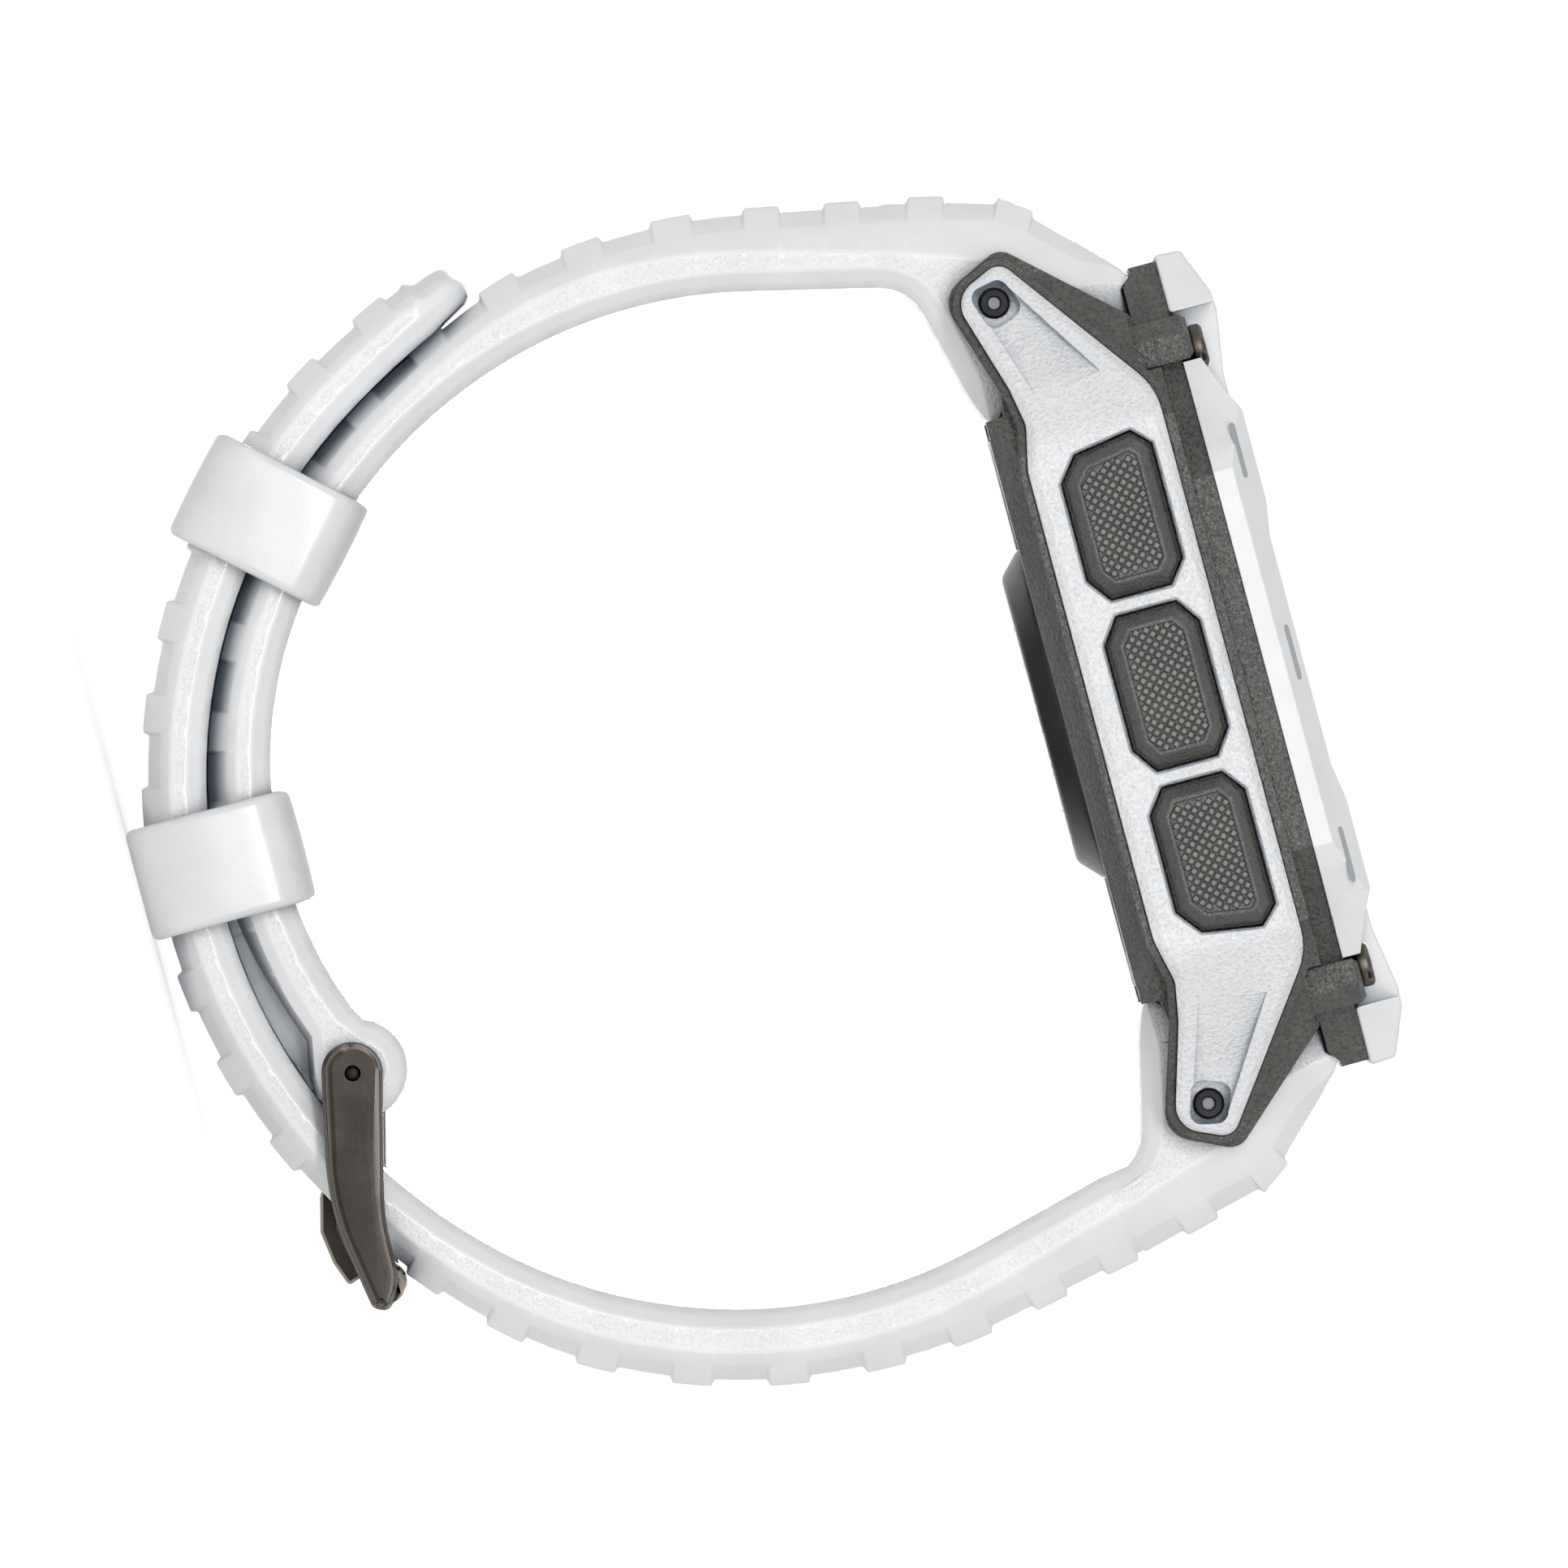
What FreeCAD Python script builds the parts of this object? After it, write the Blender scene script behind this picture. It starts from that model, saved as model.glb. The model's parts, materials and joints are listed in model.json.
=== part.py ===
import FreeCAD, Part
import math
import os

# Rugged GPS running watch, 50 mm class, strap buckled into a closed loop.
# Millimetres. Origin: centre of the flat back face of the optical sensor window.
# +Z out of the display, +Y towards 12 o'clock, +X towards 3 o'clock.

V = FreeCAD.Vector
X_AXIS = V(1, 0, 0)
Z_AXIS = V(0, 0, 1)

REACH = 40.0          # past the end of any piece, for cutting tools

# ---------------------------------------------------------------- clearances
CURVE_GAP = 0.1       # between curved faces of fixed pieces
RUN_GAP = 0.03        # radial clearance of a turning or sliding stem
BUTTON_GAP = 0.15     # all round a button cap in its guard opening
STRAP_GAP = 0.3       # rubber strap to case and to buckle
SEAM = 0.1            # between neighbouring bezel pieces

# ---------------------------------------------------------------- case levels
Z_BACK = 1.4          # flat back of the case; the sensor dome stands proud to z 0
Z_GUARD = 3.1         # lower edge of the white side guards
Z_CASE_TOP = 12.45    # top of the dark mid case
LIP_H = 0.65          # dark lip between the guards and the top of the mid case
Z_BASE_TOP = 13.8     # top of the dark bezel base
PIN_Y = 24.8          # strap lug pin axis, both ends
PIN_Z = 3.8

# ---------------------------------------------------------------- case plan
CASE_HALF = 24.4      # guards, half width over the flat sides
FLAT_Y = 15.7         # end of the flat side
SHOULDER_IN = 2.7     # how far the shoulder corner stands in from the flat side
SHOULDER_Y = 19.8
EAR_X = 17.0          # outer ear face where the outline meets EAR_Y
EAR_Y = 26.6
EAR_END = (15.6, 31.0)
GUARD_T = 2.2         # guard thickness
EAR_INNER = 13.3      # inner face of the lug ears
CASE_PLAN = ((CASE_HALF, FLAT_Y), (CASE_HALF - SHOULDER_IN, SHOULDER_Y), (EAR_X, EAR_Y),
             EAR_END)

# side outlines for the positive y half: y, z and the radius of a rounded corner
EAR_SIDE = ((14.0, 1.45), (18.0, 1.45), (18.1, 2.55), (19.4, 2.8), (25.95, 0.75, 1.7),
            (27.95, 4.9, 1.2), (22.0, 11.45), (14.0, 11.45))
GUARD_SIDE = ((14.5, Z_GUARD, 3.0), (17.2, 3.72, 1.5), (19.6, 3.3, 2.0), (25.7, 1.48, 1.6),
              (27.13, 4.71, 1.0), (17.43, Z_CASE_TOP - LIP_H, 4.0))
GUARD_BEVEL = 0.5     # along the straight side
OPENING_BEVEL = 0.15  # round the button openings
RIM_W = 0.45          # dark rim that frames each guard
RIM_INSET = 1.0       # how far the rim stays behind the guard face
RIM_ROOT = 1.0        # how far it goes into the case
CHANNEL_SIDE = ((18.7, 4.77), (25.5, 2.6, 0.5), (26.25, 4.4, 0.5), (19.26, 8.84))
CHANNEL_DEPTH = 0.8   # channel in the guard arm, towards the lug pin
CHANNEL_RAMP = 2.8    # length of its sloping end
POCKET_SIDE = 2.4     # square pocket round the lug pin head
POCKET_CORNER = 0.6
POCKET_LEAN = 27.0    # turned in line with the arm
POCKET_DEPTH = 1.6
BODY_SIDE = ((16.9, Z_BACK), (17.5, 3.0), (20.6, 3.35), (21.8, 5.6), (21.8, 11.5),
             (23.7, 11.5), (24.4, 12.1), (25.2, 12.1), (25.2, Z_CASE_TOP))
BACK_INSET = 2.4      # draft of the mid case below the guards

# ---------------------------------------------------------------- case inside
CAVITY_R = 19.2
FLOOR_Z = 3.7         # inside floor of the mid case
BATTERY_ROOM = 4.8    # between the cell and the cavity wall
BATTERY_R = CAVITY_R - BATTERY_ROOM
BATTERY_H = 6.1
BATTERY_EDGE = 0.6
BACK_OPEN_R = 14.6    # opening in the floor behind the plate
BACK_LEDGE = 2.6      # land of the back plate on the floor
BACK_R = BACK_OPEN_R + BACK_LEDGE
BACK_T = 1.5
BACK_SCREW_EDGE = 1.3
BACK_SCREW_R = BACK_R - BACK_SCREW_EDGE   # pitch circle of the back screws
BACK_HEAD_R = 1.15
BACK_SHANK_R = 0.6
BACK_HEAD_T = 0.8
BACK_HEAD_SUNK = 0.1
CROSS_W = 0.4         # driver slots of the back screws
CROSS_DEPTH = 0.4
SENSOR_R = 10.3       # sensor dome at the case back
SENSOR_SLOPE = 1.5    # width of the sloping ring round its flat
SENSOR_TOP_R = SENSOR_R - SENSOR_SLOPE
SENSOR_WELL = 0.6     # depth of its seat in the plate
SENSOR_LAND = 2.0     # width of that seat
SENSOR_BOARD_R = 7.6
PORT_Y = -13.2        # charging port, four contacts
PORT_W = 7.0
PORT_H = 3.0
PORT_SUNK = 0.2
CONTACT_R = 0.45
CONTACT_PITCH = 1.6
CONTACT_COUNT = 4
CONTACT_BAR_H = 1.2
CONTACT_BAR_T = 0.3
BOARD_R = CAVITY_R - 0.3
BOARD_T = 1.0
CHIPS = ((-3.5, 3.5, 6.0, 12.0, 0.9), (-9.5, -5.0, -2.5, 2.0, 0.8), (4.5, 8.5, -1.0, 4.0, 0.7))
MOTOR_R = 4.0
MOTOR_H = 2.3
MOTOR_PLACE = (2.0, -10.0)
ANTENNA_W = 1.6
ANTENNA_T = 1.4
FEED_GAP = 2.0        # gap in the antenna ring at its feed

# ---------------------------------------------------------------- bezel
BEZEL_END = 25.1      # half length
BEZEL_STEP = 0.9      # bezel covers stand back from the guard face
BEZEL_HALF = CASE_HALF - BEZEL_STEP
BEZEL_SIDE_Y = 11.6   # end of the straight side
BEZEL_END_X = 13.2
BEZEL_PLAN = ((BEZEL_HALF, BEZEL_SIDE_Y), (BEZEL_END_X, BEZEL_END))
BASE_INSET = 0.35     # dark base behind the white faces
RING_R = 19.0         # dark lens ring, outside
RING_WALL = 0.8
RING_BEVEL = 0.3
LENS_R = RING_R - RING_WALL
LENS_T = 1.2
LENS_BEVEL = 0.25
LENS_LAND = 1.0       # width of the ledge under the lens
LENS_LEDGE_R = LENS_R - LENS_LAND
LEDGE_Z = 14.3        # ledge under the lens gasket
RING_TOP = 15.9
GASKET_T = 0.2
PANEL_R = LENS_LEDGE_R - 0.4
PANEL_T = 1.3
CORNER_BACK = 0.5     # corner blocks start this far inside the ring's reach
CORNER_W = 2.9        # and run to the end covers
CORNER_Y0 = RING_R - CORNER_BACK
CORNER_Y1 = CORNER_Y0 + CORNER_W
SIDE_END = CORNER_Y0 - SEAM / 2
SIDE_FALL = 3.65      # the side covers' top falls over this length
SIDE_KNEE = 2.75
SIDE_TOP = ((0.0, 16.1), (7.0, 16.1), (9.3, 16.45), (SIDE_END - SIDE_FALL, 16.45),
            (SIDE_END - SIDE_KNEE, 16.0), (SIDE_END, 14.9), (SIDE_END, Z_BASE_TOP))
END_TOP = ((17.2, 16.0), (21.0, 16.6), (22.2, 16.5), (25.0, 15.4), (25.1, Z_BASE_TOP))
END_INNER_Y = 12.0    # end covers start inside the lens ring here
COVER_TOP = 17.0      # stock height of the covers before shaping
BEZEL_BREAK_Z = 15.0  # where the outer bevel starts
BEZEL_BREAK_W = 2.6   # its width and height
BEZEL_BREAK_H = 1.3
FUNNEL_Z = 15.5       # where the lens opening starts to flare
FUNNEL_W = 2.0
FUNNEL_H = 1.3
SPLIT_X = 12.6        # seam between side and end covers
BLOCK_FLAT = 1.6      # upright outer face of a corner block, then a slope inwards
BLOCK_SLOPE = 1.1
BLOCK_LOW = 11.2      # lower half of the block, on the mid case
BLOCK_Z = 14.6        # top of the dark corner blocks
BLOCK_BEVEL = 0.3
SCREW_EDGE = 1.95     # screw axis from the block face
SCREW_IN = 0.65       # and from the block's side
SCREW_Y = CORNER_Y0 + SCREW_IN
SCREW_HEAD_R = 1.35
SCREW_HEAD_T = 0.8
SCREW_HEAD_BEVEL = 0.2
SCREW_SHANK_R = 0.7
SCREW_LENGTH = 4.6
SLOT_W = 0.5
SLOT_DEPTH = 0.4
SLOT_TURN = 35.0

# ---------------------------------------------------------------- buttons
BUTTON_Z = 7.8        # stem axis
BUTTON_PITCH = 10.5   # outer buttons from the middle of the side
CAP_PROUD = 0.9       # caps stand out from the guard face
CAP_REST = 0.2        # air left behind a cap that is pushed in
# cap outlines about the stem: along y and z
CAP_MIDDLE = ((-3.2, -2.85), (3.2, -2.85), (4.68, -1.8), (4.68, 1.8), (3.25, 2.8),
              (-3.25, 2.8), (-4.68, 1.8), (-4.68, -1.8))
CAP_OUTER = ((-3.2, -2.85), (2.7, -2.85), (4.15, -1.7), (4.7, 1.8), (3.7, 2.8),
             (-3.3, 2.8), (-4.6, 1.8), (-4.6, -1.8))
CAP_BEVEL = 0.75      # width and height of the cap's bevel
CAP_BEVEL_H = 0.45
PAD_INSET = 1.0
PAD_DEPTH = 0.25
STEM_R = 1.1
STEM_PAST = 0.35      # stem beyond its clip
TRAVEL = 0.5
CLIP_R = 1.9
CLIP_T = 0.3
CLIP_PLAY = 0.02
CLIP_MOUTH = 1.4
GROOVE_DEPTH = 0.3
SEAL_R = 1.8
SEAL_T = 0.8
SWITCH_T = 1.4
SWITCH_W = 3.6
SWITCH_H = 2.6
SWITCH_GAP = 0.1
STEM_BOSS = 2.3       # half size of the square boss round each stem, inside the wall
MIDDLE_BOSS = 0.8     # its height from the cavity wall, middle and outer buttons
OUTER_BOSS = 4.0
CLIP_ROOM = 2.2       # depth of the pocket in front of the boss

# ---------------------------------------------------------------- lug pins
LUG_PIN_R = 0.85
PIN_HEAD_SUNK = 1.5   # pin ends below the guard face, measured across the watch
PIN_TIP_R = 0.38
PIN_TIP_DEPTH = 0.4

# ---------------------------------------------------------------- strap
STRAP_HALF = 13.0     # half width at the case
STRAP_END_HALF = 11.4
TAPER_FROM = 2.0      # distance along the inner face where the taper runs
TAPER_TO = 30.0
UPPER_START = (26.82, 0.22)
UPPER_HEAD = 166.56
UPPER_LEGS = ((10.94, 0.0), (36.57, 29.44), (25.6, 25.02))
UPPER_THICK = ((0.0, 5.0), (11.0, 4.6), (18.0, 4.3), (24.0, 4.1), (32.0, 3.3),
               (60.0, 3.35))
LOWER_START = (-26.73, -0.79)
LOWER_HEAD = 194.36
LOWER_LEGS = ((11.12, 0.0), (29.0, 30.08), (14.75, 33.68), (45.1, 31.74), (7.3, 50.0))
LOWER_THICK = ((0.0, 5.2), (11.0, 4.65), (20.0, 4.3), (36.0, 4.15), (44.0, 3.7),
               (52.0, 3.5), (100.0, 3.5), (108.0, 3.3))
TIP_STEPS = ((0.0, 11.4, 1.0), (1.7, 10.6, 1.0), (2.9, 9.2, 0.97), (3.5, 7.6, 0.86))
STATION = 5.0
EDGE_IN = 1.0         # rounding of the wrist side edges, across and deep
EDGE_IN_DEEP = 0.85
WALL_TOP = 0.57       # side wall ends at this share of the thickness
EDGE_MID = 1.0        # first outer slope
EDGE_MID_TOP = 0.76
EDGE_OUT = 2.6        # second outer slope
RIDGE_W = 2.2
RIDGE_H = 0.4
RIDGE_SIDE = 1.3      # ridge ends stand in from the side wall
RIDGE_SIDE_TOP = 0.84
RIDGE_PITCH = 5.1
NEAR_PITCH = 4.75     # the ridges next to the case stand closer
NEAR_RIDGES = 3
UPPER_START_RIDGE = 5.0
UPPER_PITCH = 4.85
UPPER_RIDGES = 5
LOWER_RIDGES = 21
HOLE_L = 4.2
HOLE_W = 3.0
HOLE_FIRST = 6        # first groove with an adjustment hole
HOLE_COUNT = 12
HELD_HOLE = 9         # the groove where the tongue holds the strap
HELD_AT = 51.7        # its distance along the tail, which the ridges count from
ROOT_OUTSIDE = ((32.4, -2.4), (31.5, 3.4), (31.0, 5.0), (28.95, 7.4), (27.7, 8.8),
                (24.9, 11.6))
ROOT_INSIDE = ((24.35, 11.95), (23.65, 11.4), (22.0, 11.4), (22.0, 5.5), (20.8, 3.1),
               (18.6, 2.9), (17.8, 2.3), (17.85, 1.7), (20.2, 0.8), (24.5, -0.2),
               (26.2, -0.8), (26.95, -1.6), (27.5, -2.9))
ROOT_EDGE = 1.3
ROOT_RIDGES = ((32.1, 1.3, 170.5), (30.3, 6.2, 146.9))

# ---------------------------------------------------------------- buckle
BUCKLE_Y = -9.8
BUCKLE_Z = -45.25
BUCKLE_PIN_R = 0.8
BUCKLE_TIP_R = 0.45   # thin ends of the spring bar, seated in the arms
BUCKLE_TIP_IN = 0.7   # how far the tips stay below the outer face
BUCKLE_HALF = 14.1    # outer face of the frame arms
ARM_T = 2.2
ARM_IN = BUCKLE_HALF - ARM_T
PIN_SHY = 0.1         # end play of the barrel between the arms
EYE_R = 1.8
# arm outline in y and z from the round eye end, with the radius of each corner
ARM_SIDE = ((-7.57, -46.68, EYE_R), (-17.2, -48.77, 16.0), (-23.7, -47.72, 0.6),
            (-24.2, -46.75, 0.6), (-22.4, -45.72, 3.0), (-18.6, -45.65, 12.0),
            (-8.37, -43.03, EYE_R))
ARM_BEVEL = 0.4
BAR_Y = -22.5
BAR_Z = -46.6
BAR_R = 1.2
BOSS_Y = -9.65        # rubber end wrapped round the pin
BOSS_Z = -44.9
BOSS_R = 2.8
SLOT_HALF = 1.7       # slot in the strap end for the tongue knuckle
SLOT_DEEP = 4.0
SLOT_TALL = 4.6
KNUCKLE_R = 1.7
KNUCKLE_HALF = 1.5
TONGUE_HALF = 1.1
TONGUE_T = 1.15
TONGUE_LINE = ((-10.4, -45.3), (-13.5, -45.5), (-16.7, -48.65), (-18.6, -49.1),
               (-20.4, -48.85), (-21.9, -48.3))

# ---------------------------------------------------------------- keepers
KEEPER_LEN = 6.8
KEEPER_IN = 0.9       # wall on the wrist side
KEEPER_OUT = 0.55
KEEPER_SIDE = 1.3
KEEPER_CORNER = 2.3   # rounded long corners, outside and inside
KEEPER_HOLE_CORNER = 1.0
KEEPER_EDGE = 0.45    # rounded edges of the two ends
KEEPER_FIXED = (4.3, -49.65)
KEEPER_FIXED_TURN = 0.0
KEEPER_FREE = (23.5, -41.5)
KEEPER_FREE_TURN = 42.0
KEEPER_DEEP = 10.2


# ================================================================ helpers
def corner_arc(before, here, after):
    """Start, middle and end of the arc that rounds one corner, or the corner alone."""
    spot = V(here[0], here[1], 0)
    if len(here) < 3 or here[2] == 0:
        return [spot]
    back = (V(before[0], before[1], 0) - spot).normalize()
    ahead = (V(after[0], after[1], 0) - spot).normalize()
    half = back.getAngle(ahead) / 2
    middle = (back + ahead).normalize()
    reach = here[2] / math.tan(half)
    sag = here[2] / math.sin(half) - here[2]
    return [spot + back * reach, spot + middle * sag, spot + ahead * reach]


def outline_face(points, place):
    """Face inside corners (a, b) or (a, b, radius); place turns a and b into a vector."""
    count = len(points)
    corners = [corner_arc(points[i - 1], points[i], points[(i + 1) % count])
               for i in range(count)]
    edges = []
    for i in range(count):
        spots = [place(p.x, p.y) for p in corners[i]]
        following = corners[(i + 1) % count][0]
        if len(spots) == 3:
            edges.append(Part.Arc(*spots).toShape())
        edges.append(Part.LineSegment(spots[-1], place(following.x, following.y)).toShape())
    return Part.Face(Part.Wire(edges))


def side_prism(points, x0, x1):
    """Outline in y and z pushed along x."""
    return outline_face(points, lambda y, z: V(x0, y, z)).extrude(V(x1 - x0, 0, 0))


def plan_prism(points, z0, z1):
    """Outline in x and y pushed along z."""
    return outline_face(points, lambda x, y: V(x, y, z0)).extrude(V(0, 0, z1 - z0))


def end_prism(points, y0, y1):
    """Outline in x and z pushed along y."""
    return outline_face(points, lambda x, z: V(x, y0, z)).extrude(V(0, y1 - y0, 0))


def prism(points, direction):
    """Closed polygon of vectors pushed along a direction."""
    wire = Part.makePolygon(list(points) + [points[0]])
    return Part.Face(wire).extrude(direction)


def box(x0, x1, y0, y1, z0, z1):
    return Part.makeBox(x1 - x0, y1 - y0, z1 - z0, V(x0, y0, z0))


def disc(radius, z0, z1, x=0.0, y=0.0):
    return Part.makeCylinder(radius, z1 - z0, V(x, y, z0), Z_AXIS)


def rod(radius, x0, x1, y, z):
    return Part.makeCylinder(radius, x1 - x0, V(x0, y, z), X_AXIS)


def mirror_x(shape):
    return shape.mirror(V(0, 0, 0), V(1, 0, 0))


def mirror_y(shape):
    return shape.mirror(V(0, 0, 0), V(0, 1, 0))


def four_corners(shape):
    """A piece of the first quadrant with its three mirror images."""
    pair = [shape, mirror_x(shape)]
    return pair + [mirror_y(s) for s in pair]


def both_ends(points):
    """Side outline for y above zero, closed with its mirror below zero."""
    return list(points) + [(-p[0],) + tuple(p[1:]) for p in reversed(points)]


def four_quadrants(points):
    """Plan outline for the first quadrant, repeated in the other three."""
    right = list(points) + [(-x, y) for x, y in reversed(points)]
    return right + [(-x, -y) for x, y in right]


def grow(points, distance):
    """Outline with every side moved outwards by a distance, its roundings kept concentric."""
    count = len(points)
    area = sum(points[i - 1][0] * points[i][1] - points[i][0] * points[i - 1][1]
               for i in range(count))
    sign = 1.0 if area > 0 else -1.0
    sides = []
    for i in range(count):
        (ax, ay), (bx, by) = points[i - 1][:2], points[i][:2]
        length = math.hypot(bx - ax, by - ay)
        nx = sign * (by - ay) / length
        ny = -sign * (bx - ax) / length
        sides.append((nx, ny, nx * ax + ny * ay + distance))
    grown = []
    for i in range(count):
        a1, b1, c1 = sides[i]
        a2, b2, c2 = sides[(i + 1) % count]
        det = a1 * b2 - a2 * b1
        spot = ((c1 * b2 - c2 * b1) / det, (a1 * c2 - a2 * c1) / det)
        outside = distance if det * sign > 0 else -distance
        rounding = points[i][2:]
        grown.append(spot + tuple(max(0.0, r + outside) for r in rounding))
    return grown


def rim_edges(shape, chosen):
    """Edges along the border of the faces that a test chooses."""
    edges = [e for f in shape.Faces if chosen(f) for e in f.Edges]
    return [e for e in edges if sum(1 for other in edges if other.isSame(e)) == 1]


def facing_x(x):
    """Test for flat faces that lie at one x."""
    return lambda f: abs(f.BoundBox.XMin - x) < 0.001 and abs(f.BoundBox.XMax - x) < 0.001


def facing_z(z):
    """Test for flat faces that lie at one z."""
    return lambda f: abs(f.BoundBox.ZMin - z) < 0.001 and abs(f.BoundBox.ZMax - z) < 0.001


def save(name, shape):
    shape = shape.removeSplitter()
    shape.exportStep("parts/" + name + ".step")


# ================================================================ case
def case_band(inset, z0, z1):
    """Plan of the case, moved inwards, between two levels."""
    return plan_prism(grow(four_quadrants(CASE_PLAN), -inset), z0, z1)


def widest(outline, y):
    """Outer x of a plan outline at one y."""
    found = 0.0
    for (ax, ay), (bx, by) in zip(outline, outline[1:] + outline[:1]):
        if min(ay, by) <= y <= max(ay, by) and ay != by:
            found = max(found, ax + (bx - ax) * (y - ay) / (by - ay))
    return found


def plan_x(y, inset=0.0):
    """Outer x of the case plan at one y, moved inwards."""
    return widest(grow(four_quadrants(CASE_PLAN), -inset), y)


def button_places():
    """Side sign and y of every button: three on the left, two on the right."""
    left = [(-1, BUTTON_PITCH), (-1, 0.0), (-1, -BUTTON_PITCH)]
    right = [(1, BUTTON_PITCH), (1, -BUTTON_PITCH)]
    return left + right


def boss_face(y):
    """Inner x of the flat boss that a button's clip bears on."""
    return CAVITY_R - (MIDDLE_BOSS if y == 0 else OUTER_BOSS)


def stem_boss(y, side):
    """Square boss inside the wall, its top just under the main board."""
    boss = box(boss_face(y), CASE_HALF - GUARD_T, y - STEM_BOSS, y + STEM_BOSS,
               BUTTON_Z - STEM_BOSS, board_bottom() - CURVE_GAP)
    return boss if side > 0 else mirror_x(boss)


def clip_pocket(y, side):
    """Room for the stem's clip where the round cavity wall comes close."""
    room = box(boss_face(y) - CLIP_ROOM, boss_face(y), y - STEM_BOSS, y + STEM_BOSS,
               BUTTON_Z - STEM_BOSS, BUTTON_Z + STEM_BOSS)
    return room if side > 0 else mirror_x(room)


def guard_rim():
    """Dark rim that frames the right guard and the lip above it."""
    fit = grow(both_ends(GUARD_SIDE), CURVE_GAP / 2)
    rim = side_prism(grow(fit, RIM_W), EAR_INNER, CASE_HALF)
    rim = rim.cut(side_prism(fit, 0, REACH))
    shell = case_band(RIM_INSET, 0, Z_CASE_TOP).cut(case_band(GUARD_T + RIM_ROOT, 0, Z_CASE_TOP))
    lip = box(CASE_HALF - GUARD_T, CASE_HALF - RIM_INSET, -FLAT_Y, FLAT_Y,
              Z_CASE_TOP - LIP_H + CURVE_GAP / 2, Z_CASE_TOP)
    return rim.common(shell).fuse(lip)


def corner_block(z0, z1):
    """Screw block of the first quadrant: upright face, then a slope towards the end."""
    face = widest(four_quadrants(BEZEL_PLAN), CORNER_Y0)
    near, far = CORNER_Y0 + SEAM, CORNER_Y1 - SEAM
    root = SPLIT_X + SEAM
    plan = [(root, near), (face, near), (face, near + BLOCK_FLAT), (face - BLOCK_SLOPE, far),
            (root, far)]
    return plan_prism(plan, z0, z1)


def corner_air():
    """Space beside the bezel above the lug ears, in the first quadrant."""
    zone = box(0, REACH, CORNER_Y0, REACH, BLOCK_LOW, REACH)
    return zone.cut(bezel_band(BASE_INSET, 0, REACH))


def mid_case():
    """Dark fibre filled case with four lug ears and the electronics cavity."""
    wide = CASE_HALF - GUARD_T
    low = wide - BACK_INSET
    body = side_prism(both_ends(BODY_SIDE), -wide, wide)
    body = body.fuse(four_corners(side_prism(EAR_SIDE, EAR_INNER, wide)))
    draft = [(low, 0), (low, Z_BACK), (wide, Z_GUARD), (wide, Z_CASE_TOP),
             (-wide, Z_CASE_TOP), (-wide, Z_GUARD), (-low, Z_BACK), (-low, 0)]
    body = body.common(end_prism(draft, -REACH, REACH))
    body = body.common(case_band(GUARD_T, 0, Z_CASE_TOP))
    body = body.cut(four_corners(corner_air()))
    rim = guard_rim()
    body = body.fuse([rim, mirror_x(rim)] + four_corners(corner_block(BLOCK_LOW, Z_CASE_TOP)))
    body = body.cut([disc(CAVITY_R, FLOOR_Z, REACH), disc(BACK_OPEN_R, 0, REACH),
                     disc(BACK_R + CURVE_GAP, 0, Z_BACK + BACK_T)])
    bosses = [stem_boss(y, side) for side, y in button_places()]
    pockets = [clip_pocket(y, side) for side, y in button_places()]
    body = body.fuse(bosses).cut(pockets)
    for x, y in back_screw_places():
        body = body.cut(disc(BACK_SHANK_R, Z_BACK, FLOOR_Z, x, y))
    for side, y in button_places():
        bore = rod(STEM_R + RUN_GAP, boss_face(y) - CLIP_ROOM, REACH, y, BUTTON_Z)
        tool = bore.fuse(rod(SEAL_R, wide - SEAL_T, REACH, y, BUTTON_Z))
        body = body.cut(tool if side > 0 else mirror_x(tool))
    for sign in (1, -1):
        body = body.cut(rod(LUG_PIN_R, -REACH, REACH, sign * PIN_Y, PIN_Z))
    for x, y in bezel_screw_places():
        body = body.cut(disc(SCREW_SHANK_R, screw_bottom(), REACH, x, y))
    return body


def arm_zone(floor):
    """Plan region outside a floor over the guard arm, given as (y, depth) pairs."""
    plan = [(plan_x(y, depth), y) for y, depth in floor]
    plan += [(CASE_HALF + 1, floor[-1][0]), (CASE_HALF + 1, floor[0][0])]
    return plan_prism(plan, 0, Z_CASE_TOP)


def pocket_outline():
    """Square pocket round the pin head, turned in line with the arm."""
    reach = POCKET_SIDE / math.sqrt(2)
    turns = [math.radians(45 + 90 * k - POCKET_LEAN) for k in range(4)]
    return [(PIN_Y + reach * math.cos(a), PIN_Z + reach * math.sin(a), POCKET_CORNER)
            for a in turns]


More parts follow.
